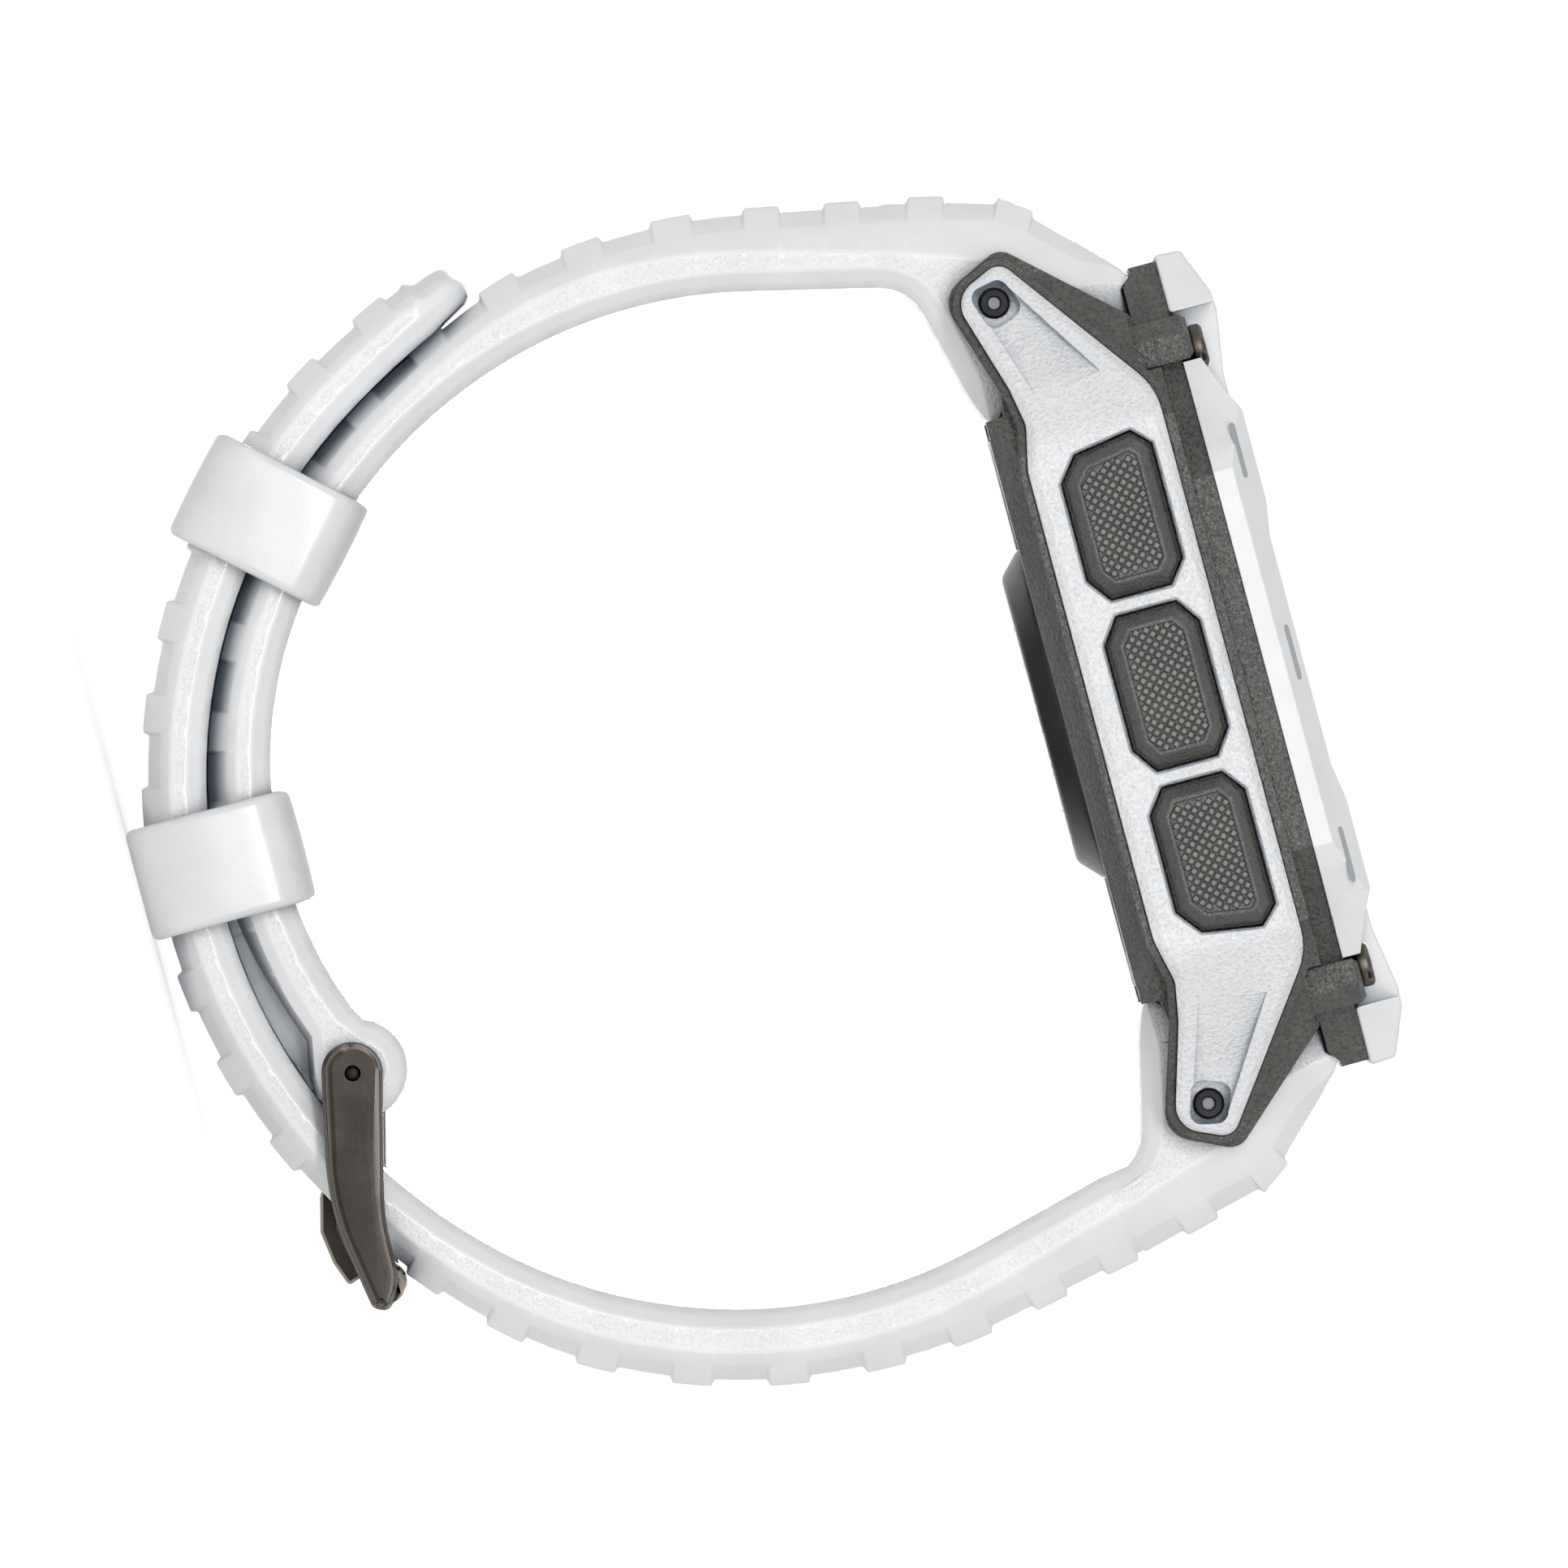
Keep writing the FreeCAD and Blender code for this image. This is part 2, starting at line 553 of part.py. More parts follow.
def guard():
    """White side guard for the positive x side, before its button openings."""
    plate = side_prism(both_ends(GUARD_SIDE), EAR_INNER, CASE_HALF)
    shell = case_band(0.0, 0, Z_CASE_TOP).cut(case_band(GUARD_T, 0, Z_CASE_TOP))
    top = Z_CASE_TOP - LIP_H
    slope = CASE_HALF - GUARD_BEVEL
    edge = [(0, Z_GUARD), (slope, Z_GUARD), (CASE_HALF, Z_GUARD + GUARD_BEVEL),
            (CASE_HALF, top - GUARD_BEVEL), (slope, top), (0, top)]
    wings = box(0, REACH, FLAT_Y, REACH, 0, REACH)
    plate = plate.common(shell)
    plate = plate.common([end_prism(edge, -REACH, REACH).fuse([wings, mirror_y(wings)])])
    start = CHANNEL_SIDE[0][0]
    slope = ((start, 0.0), (start + CHANNEL_RAMP, CHANNEL_DEPTH), (EAR_Y, CHANNEL_DEPTH))
    channel = side_prism(CHANNEL_SIDE, 0, CASE_HALF).common(arm_zone(slope))
    floor = ((PIN_Y - POCKET_SIDE, POCKET_DEPTH), (EAR_Y, POCKET_DEPTH))
    pocket = side_prism(pocket_outline(), 0, CASE_HALF).common(arm_zone(floor))
    hole = rod(LUG_PIN_R + CURVE_GAP, 0, CASE_HALF, PIN_Y, PIN_Z)
    tools = [channel, pocket, hole]
    return plate.cut(tools + [mirror_y(tool) for tool in tools])


def cap_outline(y):
    """Outline of one button cap in y and z."""
    points = CAP_MIDDLE if y == 0 else CAP_OUTER
    sign = -1 if y < 0 else 1
    return [(y + sign * py, BUTTON_Z + pz) for py, pz in points]


def tapered(outline, x0, x1, inset):
    """Plate between two x whose outline moves inwards by an inset on the way."""
    wires = [outline_face(outline, lambda y, z: V(x0, y, z)).OuterWire,
             outline_face(grow(outline, -inset), lambda y, z: V(x1, y, z)).OuterWire]
    return Part.makeLoft(wires, True, True)


def side_guard(side):
    """Guard with one bevelled opening for each button of its side."""
    plate = guard()
    for button_side, y in button_places():
        if button_side == side:
            opening = grow(cap_outline(y), BUTTON_GAP)
            mouth = tapered(opening, CASE_HALF - OPENING_BEVEL, CASE_HALF, -OPENING_BEVEL)
            plate = plate.cut([side_prism(opening, 0, CASE_HALF), mouth])
    return plate if side > 0 else mirror_x(plate)


def back_screw_places():
    reach = BACK_SCREW_R * math.sqrt(0.5)
    return [(reach, reach), (-reach, reach), (-reach, -reach), (reach, -reach)]


def port_box(z0, z1, spare=0.0):
    half = PORT_W / 2 + spare
    deep = PORT_H / 2 + spare
    return box(-half, half, PORT_Y - deep, PORT_Y + deep, z0, z1)


def case_back():
    """Round back plate with the sensor seat, screw holes and charging port."""
    plate = disc(BACK_R, Z_BACK, Z_BACK + BACK_T)
    plate = plate.cut(disc(SENSOR_R + CURVE_GAP, 0, Z_BACK + SENSOR_WELL))
    plate = plate.cut(disc(SENSOR_R - SENSOR_LAND, 0, FLOOR_Z))
    plate = plate.cut(port_box(0, FLOOR_Z))
    for x, y in back_screw_places():
        plate = plate.cut(disc(BACK_SHANK_R + CURVE_GAP, 0, FLOOR_Z, x, y))
        plate = plate.cut(disc(BACK_HEAD_R + CURVE_GAP, 0, Z_BACK + BACK_HEAD_T, x, y))
    return plate


def back_screw(x, y):
    head = Z_BACK + BACK_HEAD_SUNK
    screw = disc(BACK_HEAD_R, head, Z_BACK + BACK_HEAD_T, x, y)
    screw = screw.fuse(disc(BACK_SHANK_R, head, FLOOR_Z, x, y))
    half = CROSS_W / 2
    slot = box(x - BACK_HEAD_R, x + BACK_HEAD_R, y - half, y + half, 0, Z_BACK + CROSS_DEPTH)
    return screw.cut([slot, slot.copy().rotate(V(x, y, 0), Z_AXIS, 90)])


def sensor_window():
    """Domed optical window; its flat is the face that rests on the wrist."""
    dome = Part.makeCone(SENSOR_TOP_R, SENSOR_R, Z_BACK, V(0, 0, 0), Z_AXIS)
    return dome.fuse(disc(SENSOR_R, Z_BACK, Z_BACK + SENSOR_WELL))


def contact_xs():
    first = -CONTACT_PITCH * (CONTACT_COUNT - 1) / 2
    return [first + CONTACT_PITCH * i for i in range(CONTACT_COUNT)]


def charge_port():
    """Moulded insert holding the sprung contacts."""
    insert = port_box(Z_BACK + PORT_SUNK, Z_BACK + BACK_T)
    return insert.cut([disc(CONTACT_R, 0, FLOOR_Z, x, PORT_Y) for x in contact_xs()])


def charge_contacts():
    """Contact pins on a common bar behind the insert."""
    top = Z_BACK + BACK_T
    reach = contact_xs()[-1] + CONTACT_R
    half = CONTACT_BAR_H / 2
    bar = box(-reach, reach, PORT_Y - half, PORT_Y + half, top, top + CONTACT_BAR_T)
    pins = [disc(CONTACT_R, Z_BACK + PORT_SUNK / 2, top, x, PORT_Y) for x in contact_xs()]
    return bar.fuse(pins)


# ================================================================ inside
def sensor_board():
    return disc(SENSOR_BOARD_R, Z_BACK + BACK_T, FLOOR_Z)


def board_bottom():
    return FLOOR_Z + BATTERY_H


def board_top():
    return board_bottom() + BOARD_T


def battery():
    cell = disc(BATTERY_R, FLOOR_Z, board_bottom())
    return cell.makeChamfer(BATTERY_EDGE, rim_edges(cell, facing_z(FLOOR_Z)))


def main_board():
    board = disc(BOARD_R, board_bottom(), board_top())
    chips = [box(x0, x1, y0, y1, board_top(), board_top() + tall)
             for x0, x1, y0, y1, tall in CHIPS]
    return board.fuse(chips)


def vibration_motor():
    return disc(MOTOR_R, board_top(), board_top() + MOTOR_H, *MOTOR_PLACE)


def gps_antenna():
    """Antenna ring on the board's edge, open at its feed."""
    ring = disc(BOARD_R, board_top(), board_top() + ANTENNA_T)
    ring = ring.cut(disc(BOARD_R - ANTENNA_W, 0, REACH))
    return ring.cut(box(0, REACH, -FEED_GAP / 2, FEED_GAP / 2, 0, REACH))


# ================================================================ bezel
def bezel_band(inset, z0, z1):
    return plan_prism(grow(four_quadrants(BEZEL_PLAN), -inset), z0, z1)


def bezel_screw_places():
    x = widest(four_quadrants(BEZEL_PLAN), CORNER_Y0) - SCREW_EDGE
    return [(x, SCREW_Y), (-x, SCREW_Y), (-x, -SCREW_Y), (x, -SCREW_Y)]


def screw_bottom():
    return BLOCK_Z - SCREW_LENGTH


def bezel_base():
    """Dark base: flange, raised lens ring and four corner blocks."""
    base = bezel_band(BASE_INSET, Z_CASE_TOP, Z_BASE_TOP)
    block = corner_block(Z_CASE_TOP, BLOCK_Z)
    block = block.makeChamfer(BLOCK_BEVEL, rim_edges(block, facing_z(BLOCK_Z)))
    ring = disc(RING_R, Z_CASE_TOP, RING_TOP)
    ring = ring.makeChamfer(RING_BEVEL, rim_edges(ring, facing_z(RING_TOP)))
    base = base.fuse([ring] + four_corners(block))
    base = base.cut([disc(LENS_LEDGE_R, 0, REACH), disc(LENS_R + CURVE_GAP, LEDGE_Z, REACH)])
    for x, y in bezel_screw_places():
        base = base.cut(disc(SCREW_SHANK_R + CURVE_GAP, 0, REACH, x, y))
    return base


def bezel_screw(x, y):
    """Slotted screw standing on a corner block."""
    top = BLOCK_Z + SCREW_HEAD_T
    head = disc(SCREW_HEAD_R, BLOCK_Z, top, x, y)
    head = head.makeChamfer(SCREW_HEAD_BEVEL, rim_edges(head, facing_z(top)))
    screw = head.fuse(disc(SCREW_SHANK_R, screw_bottom(), BLOCK_Z, x, y))
    half = SLOT_W / 2
    slot = box(x - SCREW_HEAD_R, x + SCREW_HEAD_R, y - half, y + half, top - SLOT_DEPTH, top)
    return screw.cut(slot.rotate(V(x, y, 0), Z_AXIS, SLOT_TURN))


def cover_ring():
    """White cover stock: bezel plan with its bevel, the lens opening and screw reliefs."""
    ring = bezel_band(0.0, Z_BASE_TOP, COVER_TOP).cut(disc(RING_R + CURVE_GAP, 0, REACH))
    funnel = Part.makeCone(RING_R, RING_R + FUNNEL_W, FUNNEL_H, V(0, 0, FUNNEL_Z), Z_AXIS)
    ring = ring.cut(funnel)
    heads = [disc(SCREW_HEAD_R + CURVE_GAP, BLOCK_Z, REACH, x, y)
             for x, y in bezel_screw_places()]
    ring = ring.cut(heads)
    run = BEZEL_BREAK_W * (COVER_TOP - BEZEL_BREAK_Z) / BEZEL_BREAK_H
    bevel = [(BEZEL_HALF, Z_BASE_TOP), (BEZEL_HALF, BEZEL_BREAK_Z),
             (BEZEL_HALF - run, COVER_TOP), (run - BEZEL_HALF, COVER_TOP),
             (-BEZEL_HALF, BEZEL_BREAK_Z), (-BEZEL_HALF, Z_BASE_TOP)]
    return ring.common(end_prism(bevel, -REACH, REACH))


def bezel_side(side):
    """Side cover with raised shoulders beside the middle."""
    half = side_prism(list(SIDE_TOP) + [(0.0, Z_BASE_TOP)], SPLIT_X + SEAM, REACH)
    cover = cover_ring().common(half.fuse(mirror_y(half)))
    return cover if side > 0 else mirror_x(cover)


def bezel_end(side):
    """End cover over the strap, sloping down to the case end."""
    outline = [(END_INNER_Y, Z_BASE_TOP), (END_INNER_Y, END_TOP[0][1])] + list(END_TOP)
    cover = cover_ring().common(side_prism(outline, -REACH, REACH))
    zone = box(SPLIT_X - SEAM, REACH, 0, CORNER_Y1 + SEAM, 0, REACH)
    cover = cover.cut([zone, mirror_x(zone)])
    return cover if side > 0 else mirror_y(cover)


def lens_glass():
    bottom = LEDGE_Z + GASKET_T
    glass = disc(LENS_R, bottom, bottom + LENS_T)
    return glass.makeChamfer(LENS_BEVEL, rim_edges(glass, facing_z(bottom + LENS_T)))


def lens_gasket():
    return disc(LENS_R, LEDGE_Z, LEDGE_Z + GASKET_T).cut(disc(LENS_LEDGE_R, 0, REACH))


def display_panel():
    top = LEDGE_Z + GASKET_T
    return disc(PANEL_R, top - PANEL_T, top)


# ================================================================ buttons
def clip_x(y):
    return boss_face(y) - CLIP_T


def stem_end(y):
    return clip_x(y) - STEM_PAST


def button(side, y):
    """Cap with bevelled rim, sunk grip pad and a round stem through the wall."""
    outline = cap_outline(y)
    back = CASE_HALF - GUARD_T + TRAVEL + CAP_REST
    front = CASE_HALF + CAP_PROUD
    cap = side_prism(outline, back, front - CAP_BEVEL_H)
    cap = cap.fuse(tapered(outline, front - CAP_BEVEL_H, front, CAP_BEVEL))
    cap = cap.cut(side_prism(grow(outline, -PAD_INSET), front - PAD_DEPTH, front))
    stem = rod(STEM_R, stem_end(y), back, y, BUTTON_Z)
    groove = rod(STEM_R + 1, clip_x(y), boss_face(y), y, BUTTON_Z)
    groove = groove.cut(rod(STEM_R - GROOVE_DEPTH, 0, REACH, y, BUTTON_Z))
    cap = cap.fuse(stem).cut(groove)
    return cap if side > 0 else mirror_x(cap)


def button_clip(side, y):
    """Open ring in the stem's groove, behind the boss."""
    clip = rod(CLIP_R, clip_x(y), boss_face(y) - CLIP_PLAY, y, BUTTON_Z)
    clip = clip.cut(rod(STEM_R - GROOVE_DEPTH, 0, REACH, y, BUTTON_Z))
    half = CLIP_MOUTH / 2
    clip = clip.cut(box(0, REACH, y - half, y + half, 0, BUTTON_Z))
    return clip if side > 0 else mirror_x(clip)


def button_seal(side, y):
    wide = CASE_HALF - GUARD_T
    ring = rod(SEAL_R, wide - SEAL_T, wide, y, BUTTON_Z)
    ring = ring.cut(rod(STEM_R + RUN_GAP, 0, REACH, y, BUTTON_Z))
    return ring if side > 0 else mirror_x(ring)


def button_switch(side, y):
    """Push switch hung from the edge of the main board."""
    face = stem_end(y) - TRAVEL - SWITCH_GAP
    top = board_bottom()
    block = box(face - SWITCH_T, face, y - SWITCH_W / 2, y + SWITCH_W / 2,
                top - SWITCH_H, top)
    return block if side > 0 else mirror_x(block)


# ================================================================ strap
def walk(start, heading, legs, turn, step):
    """Stations along straight and curved legs: distance, y, z and heading."""
    y, z = start
    angle = math.radians(heading)
    along = 0.0
    stations = [(along, y, z, angle)]
    for length, radius in legs:
        count = max(1, int(round(length / step)))
        part = length / count
        bend = turn * part / radius if radius else 0.0
        chord = part if not radius else 2 * radius * math.sin(part / radius / 2)
        for _ in range(count):
            angle += bend / 2
            z += chord * math.cos(angle)
            y += chord * math.sin(angle)
            angle += bend / 2
            along += part
            stations.append((along, y, z, angle))
    return stations


def station_at(path, turn, distance):
    """Station at one distance, walked in fine steps."""
    best = None
    for station in walk(*path, turn, 0.05):
        if best is None or abs(station[0] - distance) < abs(best[0] - distance):
            best = station
    return best


def ramp(table, distance):
    """Straight line between the pairs of a table."""
    for (d0, v0), (d1, v1) in zip(table[:-1], table[1:]):
        if distance <= d1:
            return v0 + (v1 - v0) * max(0.0, distance - d0) / (d1 - d0)
    return table[-1][1]


def half_width(distance):
    return ramp(((TAPER_FROM, STRAP_HALF), (TAPER_TO, STRAP_END_HALF)), distance)


def outward(angle, turn):
    """Unit vector from the wrist side to the outside of the loop."""
    return V(0, -turn * math.cos(angle), turn * math.sin(angle))


def section_points(wide, thick):
    """Strap section: rounded wrist edges, upright wall, two outer slopes."""
    half = [(wide - EDGE_IN, 0.0), (wide, EDGE_IN_DEEP), (wide, WALL_TOP * thick),
            (wide - EDGE_MID, EDGE_MID_TOP * thick), (wide - EDGE_OUT, thick)]
    return half + [(-x, h) for x, h in reversed(half)]


def section(station, turn, thick):
    distance, y, z, angle = station
    up = outward(angle, turn)
    corners = [V(x, y, z) + up * h for x, h in section_points(half_width(distance), thick)]
    return Part.makePolygon(corners + [corners[0]])


def strap_body(path, turn, thicks):
    """Band lofted through sections along its path."""
    wires = [section(s, turn, ramp(thicks, s[0])) for s in walk(*path, turn, STATION)]
    return Part.makeLoft(wires, True, False)


def frame_at(station, turn):
    """Base point, outward and forward directions of a station."""
    distance, y, z, angle = station
    return V(0, y, z), outward(angle, turn), V(0, math.sin(angle), math.cos(angle))


def hole_box(station, turn):
    """Oblong hole straight through the band."""
    base, up, ahead = frame_at(station, turn)
    base = base - up * 2 - ahead * (HOLE_L / 2)
    x = V(HOLE_W / 2, 0, 0)
    along = ahead * HOLE_L
    return prism([base - x, base + x, base + x + along, base - x + along], up * 9)


def bar_across(base, up, ahead, wide, thick):
    """Low block whose ends follow the sloped edges of the band."""
    half = [(wide - RIDGE_SIDE, WALL_TOP * thick), (wide - RIDGE_SIDE, RIDGE_SIDE_TOP * thick),
            (wide - EDGE_OUT, thick + RIDGE_H)]
    points = half + [(-x, h) for x, h in reversed(half)]
    back = base - ahead * (RIDGE_W / 2)
    return prism([back + V(x, 0, 0) + up * h for x, h in points], ahead * RIDGE_W)


def ridge(path, turn, thicks, distance):
    base, up, ahead = frame_at(station_at(path, turn, distance), turn)
    return bar_across(base, up, ahead, half_width(distance), ramp(thicks, distance))


def root():
    """Solid end of a strap half, wrapped round the lug pin, for the upper end."""
    block = side_prism(ROOT_OUTSIDE + ROOT_INSIDE, -STRAP_HALF, STRAP_HALF)
    middles = [((a[0] + b[0]) / 2, (a[1] + b[1]) / 2)
               for a, b in zip(ROOT_OUTSIDE[:-1], ROOT_OUTSIDE[1:])]
    edges = [e for e in block.Edges if on_outside(e, middles)]
    block = block.makeChamfer(ROOT_EDGE, edges)
    ridges = [root_ridge(*spot) for spot in ROOT_RIDGES]
    return block.fuse(ridges).cut(rod(LUG_PIN_R, -REACH, REACH, PIN_Y, PIN_Z))


def on_outside(edge, middles):
    """True for a side edge whose middle lies on one of the outer stretches."""
    c = edge.CenterOfMass
    if abs(abs(c.x) - STRAP_HALF) > 0.01:
        return False
    return any(abs(c.y - y) < 0.05 and abs(c.z - z) < 0.05 for y, z in middles)


def root_ridge(y, z, heading):
    """Low block on the outside of the root, given the middle of its top."""
    base, up, ahead = frame_at((0.0, y, z, math.radians(heading)), 1)
    thick = UPPER_THICK[0][1]
    return bar_across(base - up * (thick + RIDGE_H), up, ahead, STRAP_HALF, thick)


UPPER_PATH = (UPPER_START, UPPER_HEAD, UPPER_LEGS)
LOWER_PATH = (LOWER_START, LOWER_HEAD, LOWER_LEGS)


def strap_upper():
    """Buckle half, fixed at the 12 o'clock lugs."""
    band = strap_body(UPPER_PATH, 1, UPPER_THICK)
    ridges = [ridge(UPPER_PATH, 1, UPPER_THICK, UPPER_START_RIDGE + i * UPPER_PITCH)
              for i in range(UPPER_RIDGES)]
    boss = rod(BOSS_R, -STRAP_END_HALF, STRAP_END_HALF, BOSS_Y, BOSS_Z)
    band = band.fuse([root(), boss] + ridges)
    slot = box(-SLOT_HALF, SLOT_HALF, BUCKLE_Y - SLOT_DEEP, BUCKLE_Y + SLOT_DEEP,
               BUCKLE_Z - SLOT_TALL, BUCKLE_Z + SLOT_TALL)
    band = band.cut(slot)
    return band.cut(rod(BUCKLE_PIN_R, -REACH, REACH, BUCKLE_Y, BUCKLE_Z))


def strap_lower():
    """Tail half with adjustment holes, fixed at the 6 o'clock lugs."""
    band = strap_body(LOWER_PATH, -1, LOWER_THICK)
    ridges = [ridge(LOWER_PATH, -1, LOWER_THICK, ridge_place(i))
              for i in range(LOWER_RIDGES)]
    band = band.fuse([mirror_y(root()), strap_tip()] + ridges)
    for i in range(HOLE_FIRST, HOLE_FIRST + HOLE_COUNT):
        distance = (ridge_place(i) + ridge_place(i + 1)) / 2
        band = band.cut(hole_box(station_at(LOWER_PATH, -1, distance), -1))
    return band


def ridge_place(index):
    """Distance of a tail ridge along the inner face."""
    near = max(NEAR_RIDGES - index, 0)
    even = HELD_AT + (index + near - HELD_HOLE - 0.5) * RIDGE_PITCH
    return even - near * NEAR_PITCH


def strap_tip():
    """Rounded end of the tail, carried straight on from the last station."""
    last = walk(*LOWER_PATH, -1, STATION)[-1]
    base, up, ahead = frame_at(last, -1)
    thick = ramp(LOWER_THICK, last[0])
    wires = []
    for step, wide, share in TIP_STEPS:
        sunk = thick * (1.0 - share) / 2
        corners = [base + ahead * step + V(x, 0, 0) + up * (sunk + h)
                   for x, h in section_points(wide, thick * share)]
        wires.append(Part.makePolygon(corners + [corners[0]]))
    return Part.makeLoft(wires, True, True)


# ================================================================ lug pins
def lug_pin(sign):
    """Steel pin with drilled tips, carrying one strap half."""
    y = sign * PIN_Y
    half = plan_x(PIN_Y) - PIN_HEAD_SUNK
    pin = rod(LUG_PIN_R, -half, half, y, PIN_Z)
    tip = rod(PIN_TIP_R, half - PIN_TIP_DEPTH, REACH, y, PIN_Z)
    return pin.cut([tip, mirror_x(tip)])


# ================================================================ buckle
def buckle_frame():
    """Metal frame: two arms, eyes on the pin and a far bar."""
    arm = side_prism(ARM_SIDE, ARM_IN, BUCKLE_HALF)
    arm = arm.makeChamfer(ARM_BEVEL, rim_edges(arm, facing_x(BUCKLE_HALF)))
    bar = rod(BAR_R, -ARM_IN, ARM_IN, BAR_Y, BAR_Z)
    frame = arm.fuse([mirror_x(arm), bar])
    return frame.cut(rod(BUCKLE_TIP_R + RUN_GAP, -REACH, REACH, BUCKLE_Y, BUCKLE_Z))


def ribbon(line, half):
    """Closed outline of even thickness along an open line."""
    left, right = [], []
    for i, (y, z) in enumerate(line):
        before = line[max(0, i - 1)]
        after = line[min(len(line) - 1, i + 1)]
        dy, dz = after[0] - before[0], after[1] - before[1]
        length = math.hypot(dy, dz)
        left.append((y - half * dz / length, z + half * dy / length))
        right.append((y + half * dz / length, z - half * dy / length))
    return left + right[::-1]


def buckle_tongue():
    """Cranked tongue that passes up through a strap hole and rests on the bar."""
    tongue = side_prism(ribbon(TONGUE_LINE, TONGUE_T / 2), -TONGUE_HALF, TONGUE_HALF)
    knuckle = rod(KNUCKLE_R, -KNUCKLE_HALF, KNUCKLE_HALF, BUCKLE_Y, BUCKLE_Z)
    bore = rod(BUCKLE_PIN_R + RUN_GAP, -REACH, REACH, BUCKLE_Y, BUCKLE_Z)
    return tongue.fuse(knuckle).cut(bore)


def buckle_pin():
    """Spring bar: thick barrel in the strap end, thin tips in the frame eyes."""
    reach = BUCKLE_HALF - BUCKLE_TIP_IN
    barrel = rod(BUCKLE_PIN_R, PIN_SHY - ARM_IN, ARM_IN - PIN_SHY, BUCKLE_Y, BUCKLE_Z)
    return barrel.fuse(rod(BUCKLE_TIP_R, -reach, reach, BUCKLE_Y, BUCKLE_Z))


# ================================================================ keepers
def round_rectangle(half, low, high, corner):
    """Rounded outline symmetric about the z axis, between two levels."""
    return [(half, low, corner), (half, high, corner), (-half, high, corner),
            (-half, low, corner)]


def keeper(place, turn):
    """Moulded loop round both strap layers."""
    y, z = place
    wide = STRAP_END_HALF + STRAP_GAP
    deep = KEEPER_DEEP / 2
    end = KEEPER_LEN / 2
    loop = end_prism(round_rectangle(wide + KEEPER_SIDE, -deep, deep, KEEPER_CORNER), -end, end)
    ends = rim_edges(loop, lambda f: abs(abs(f.CenterOfMass.y) - end) < 0.001)
    loop = loop.makeFillet(KEEPER_EDGE, ends)
    hole = round_rectangle(wide, KEEPER_OUT - deep, deep - KEEPER_IN, KEEPER_HOLE_CORNER)
    loop = loop.cut(end_prism(hole, -REACH, REACH))
    loop.rotate(V(0, 0, 0), X_AXIS, turn)
    loop.translate(V(0, y, z))
    return loop


# ================================================================ write out
def main():
    os.makedirs("parts", exist_ok=True)
    save("mid_case", mid_case())
    save("side_guard_left", side_guard(-1))
    save("side_guard_right", side_guard(1))
    save("case_back", case_back())
    save("sensor_window", sensor_window())
    save("sensor_board", sensor_board())
    save("charge_port", charge_port())
    save("charge_contacts", charge_contacts())
    for i, (x, y) in enumerate(back_screw_places()):
        save("back_screw_%d" % (i + 1), back_screw(x, y))
    save("battery", battery())
    save("main_board", main_board())
    save("vibration_motor", vibration_motor())
    save("gps_antenna", gps_antenna())
    save("bezel_base", bezel_base())
    save("bezel_side_left", bezel_side(-1))
    save("bezel_side_right", bezel_side(1))
    save("bezel_end_upper", bezel_end(1))
    save("bezel_end_lower", bezel_end(-1))
    for i, (x, y) in enumerate(bezel_screw_places()):
        save("bezel_screw_%d" % (i + 1), bezel_screw(x, y))
    save("lens_glass", lens_glass())
    save("lens_gasket", lens_gasket())
    save("display_panel", display_panel())
    names = ("left_upper", "left_middle", "left_lower", "right_upper", "right_lower")
    for name, (side, y) in zip(names, button_places()):
        save("button_" + name, button(side, y))
        save("clip_" + name, button_clip(side, y))
        save("seal_" + name, button_seal(side, y))
        save("switch_" + name, button_switch(side, y))
    save("lug_pin_upper", lug_pin(1))
    save("lug_pin_lower", lug_pin(-1))
    save("strap_upper", strap_upper())
    save("strap_lower", strap_lower())
    save("buckle_frame", buckle_frame())
    save("buckle_tongue", buckle_tongue())
    save("buckle_pin", buckle_pin())
    save("keeper_fixed", keeper(KEEPER_FIXED, KEEPER_FIXED_TURN))
    save("keeper_free", keeper(KEEPER_FREE, KEEPER_FREE_TURN))


main()
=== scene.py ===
import json
import math

import bmesh
import bpy
from mathutils import Matrix, Vector

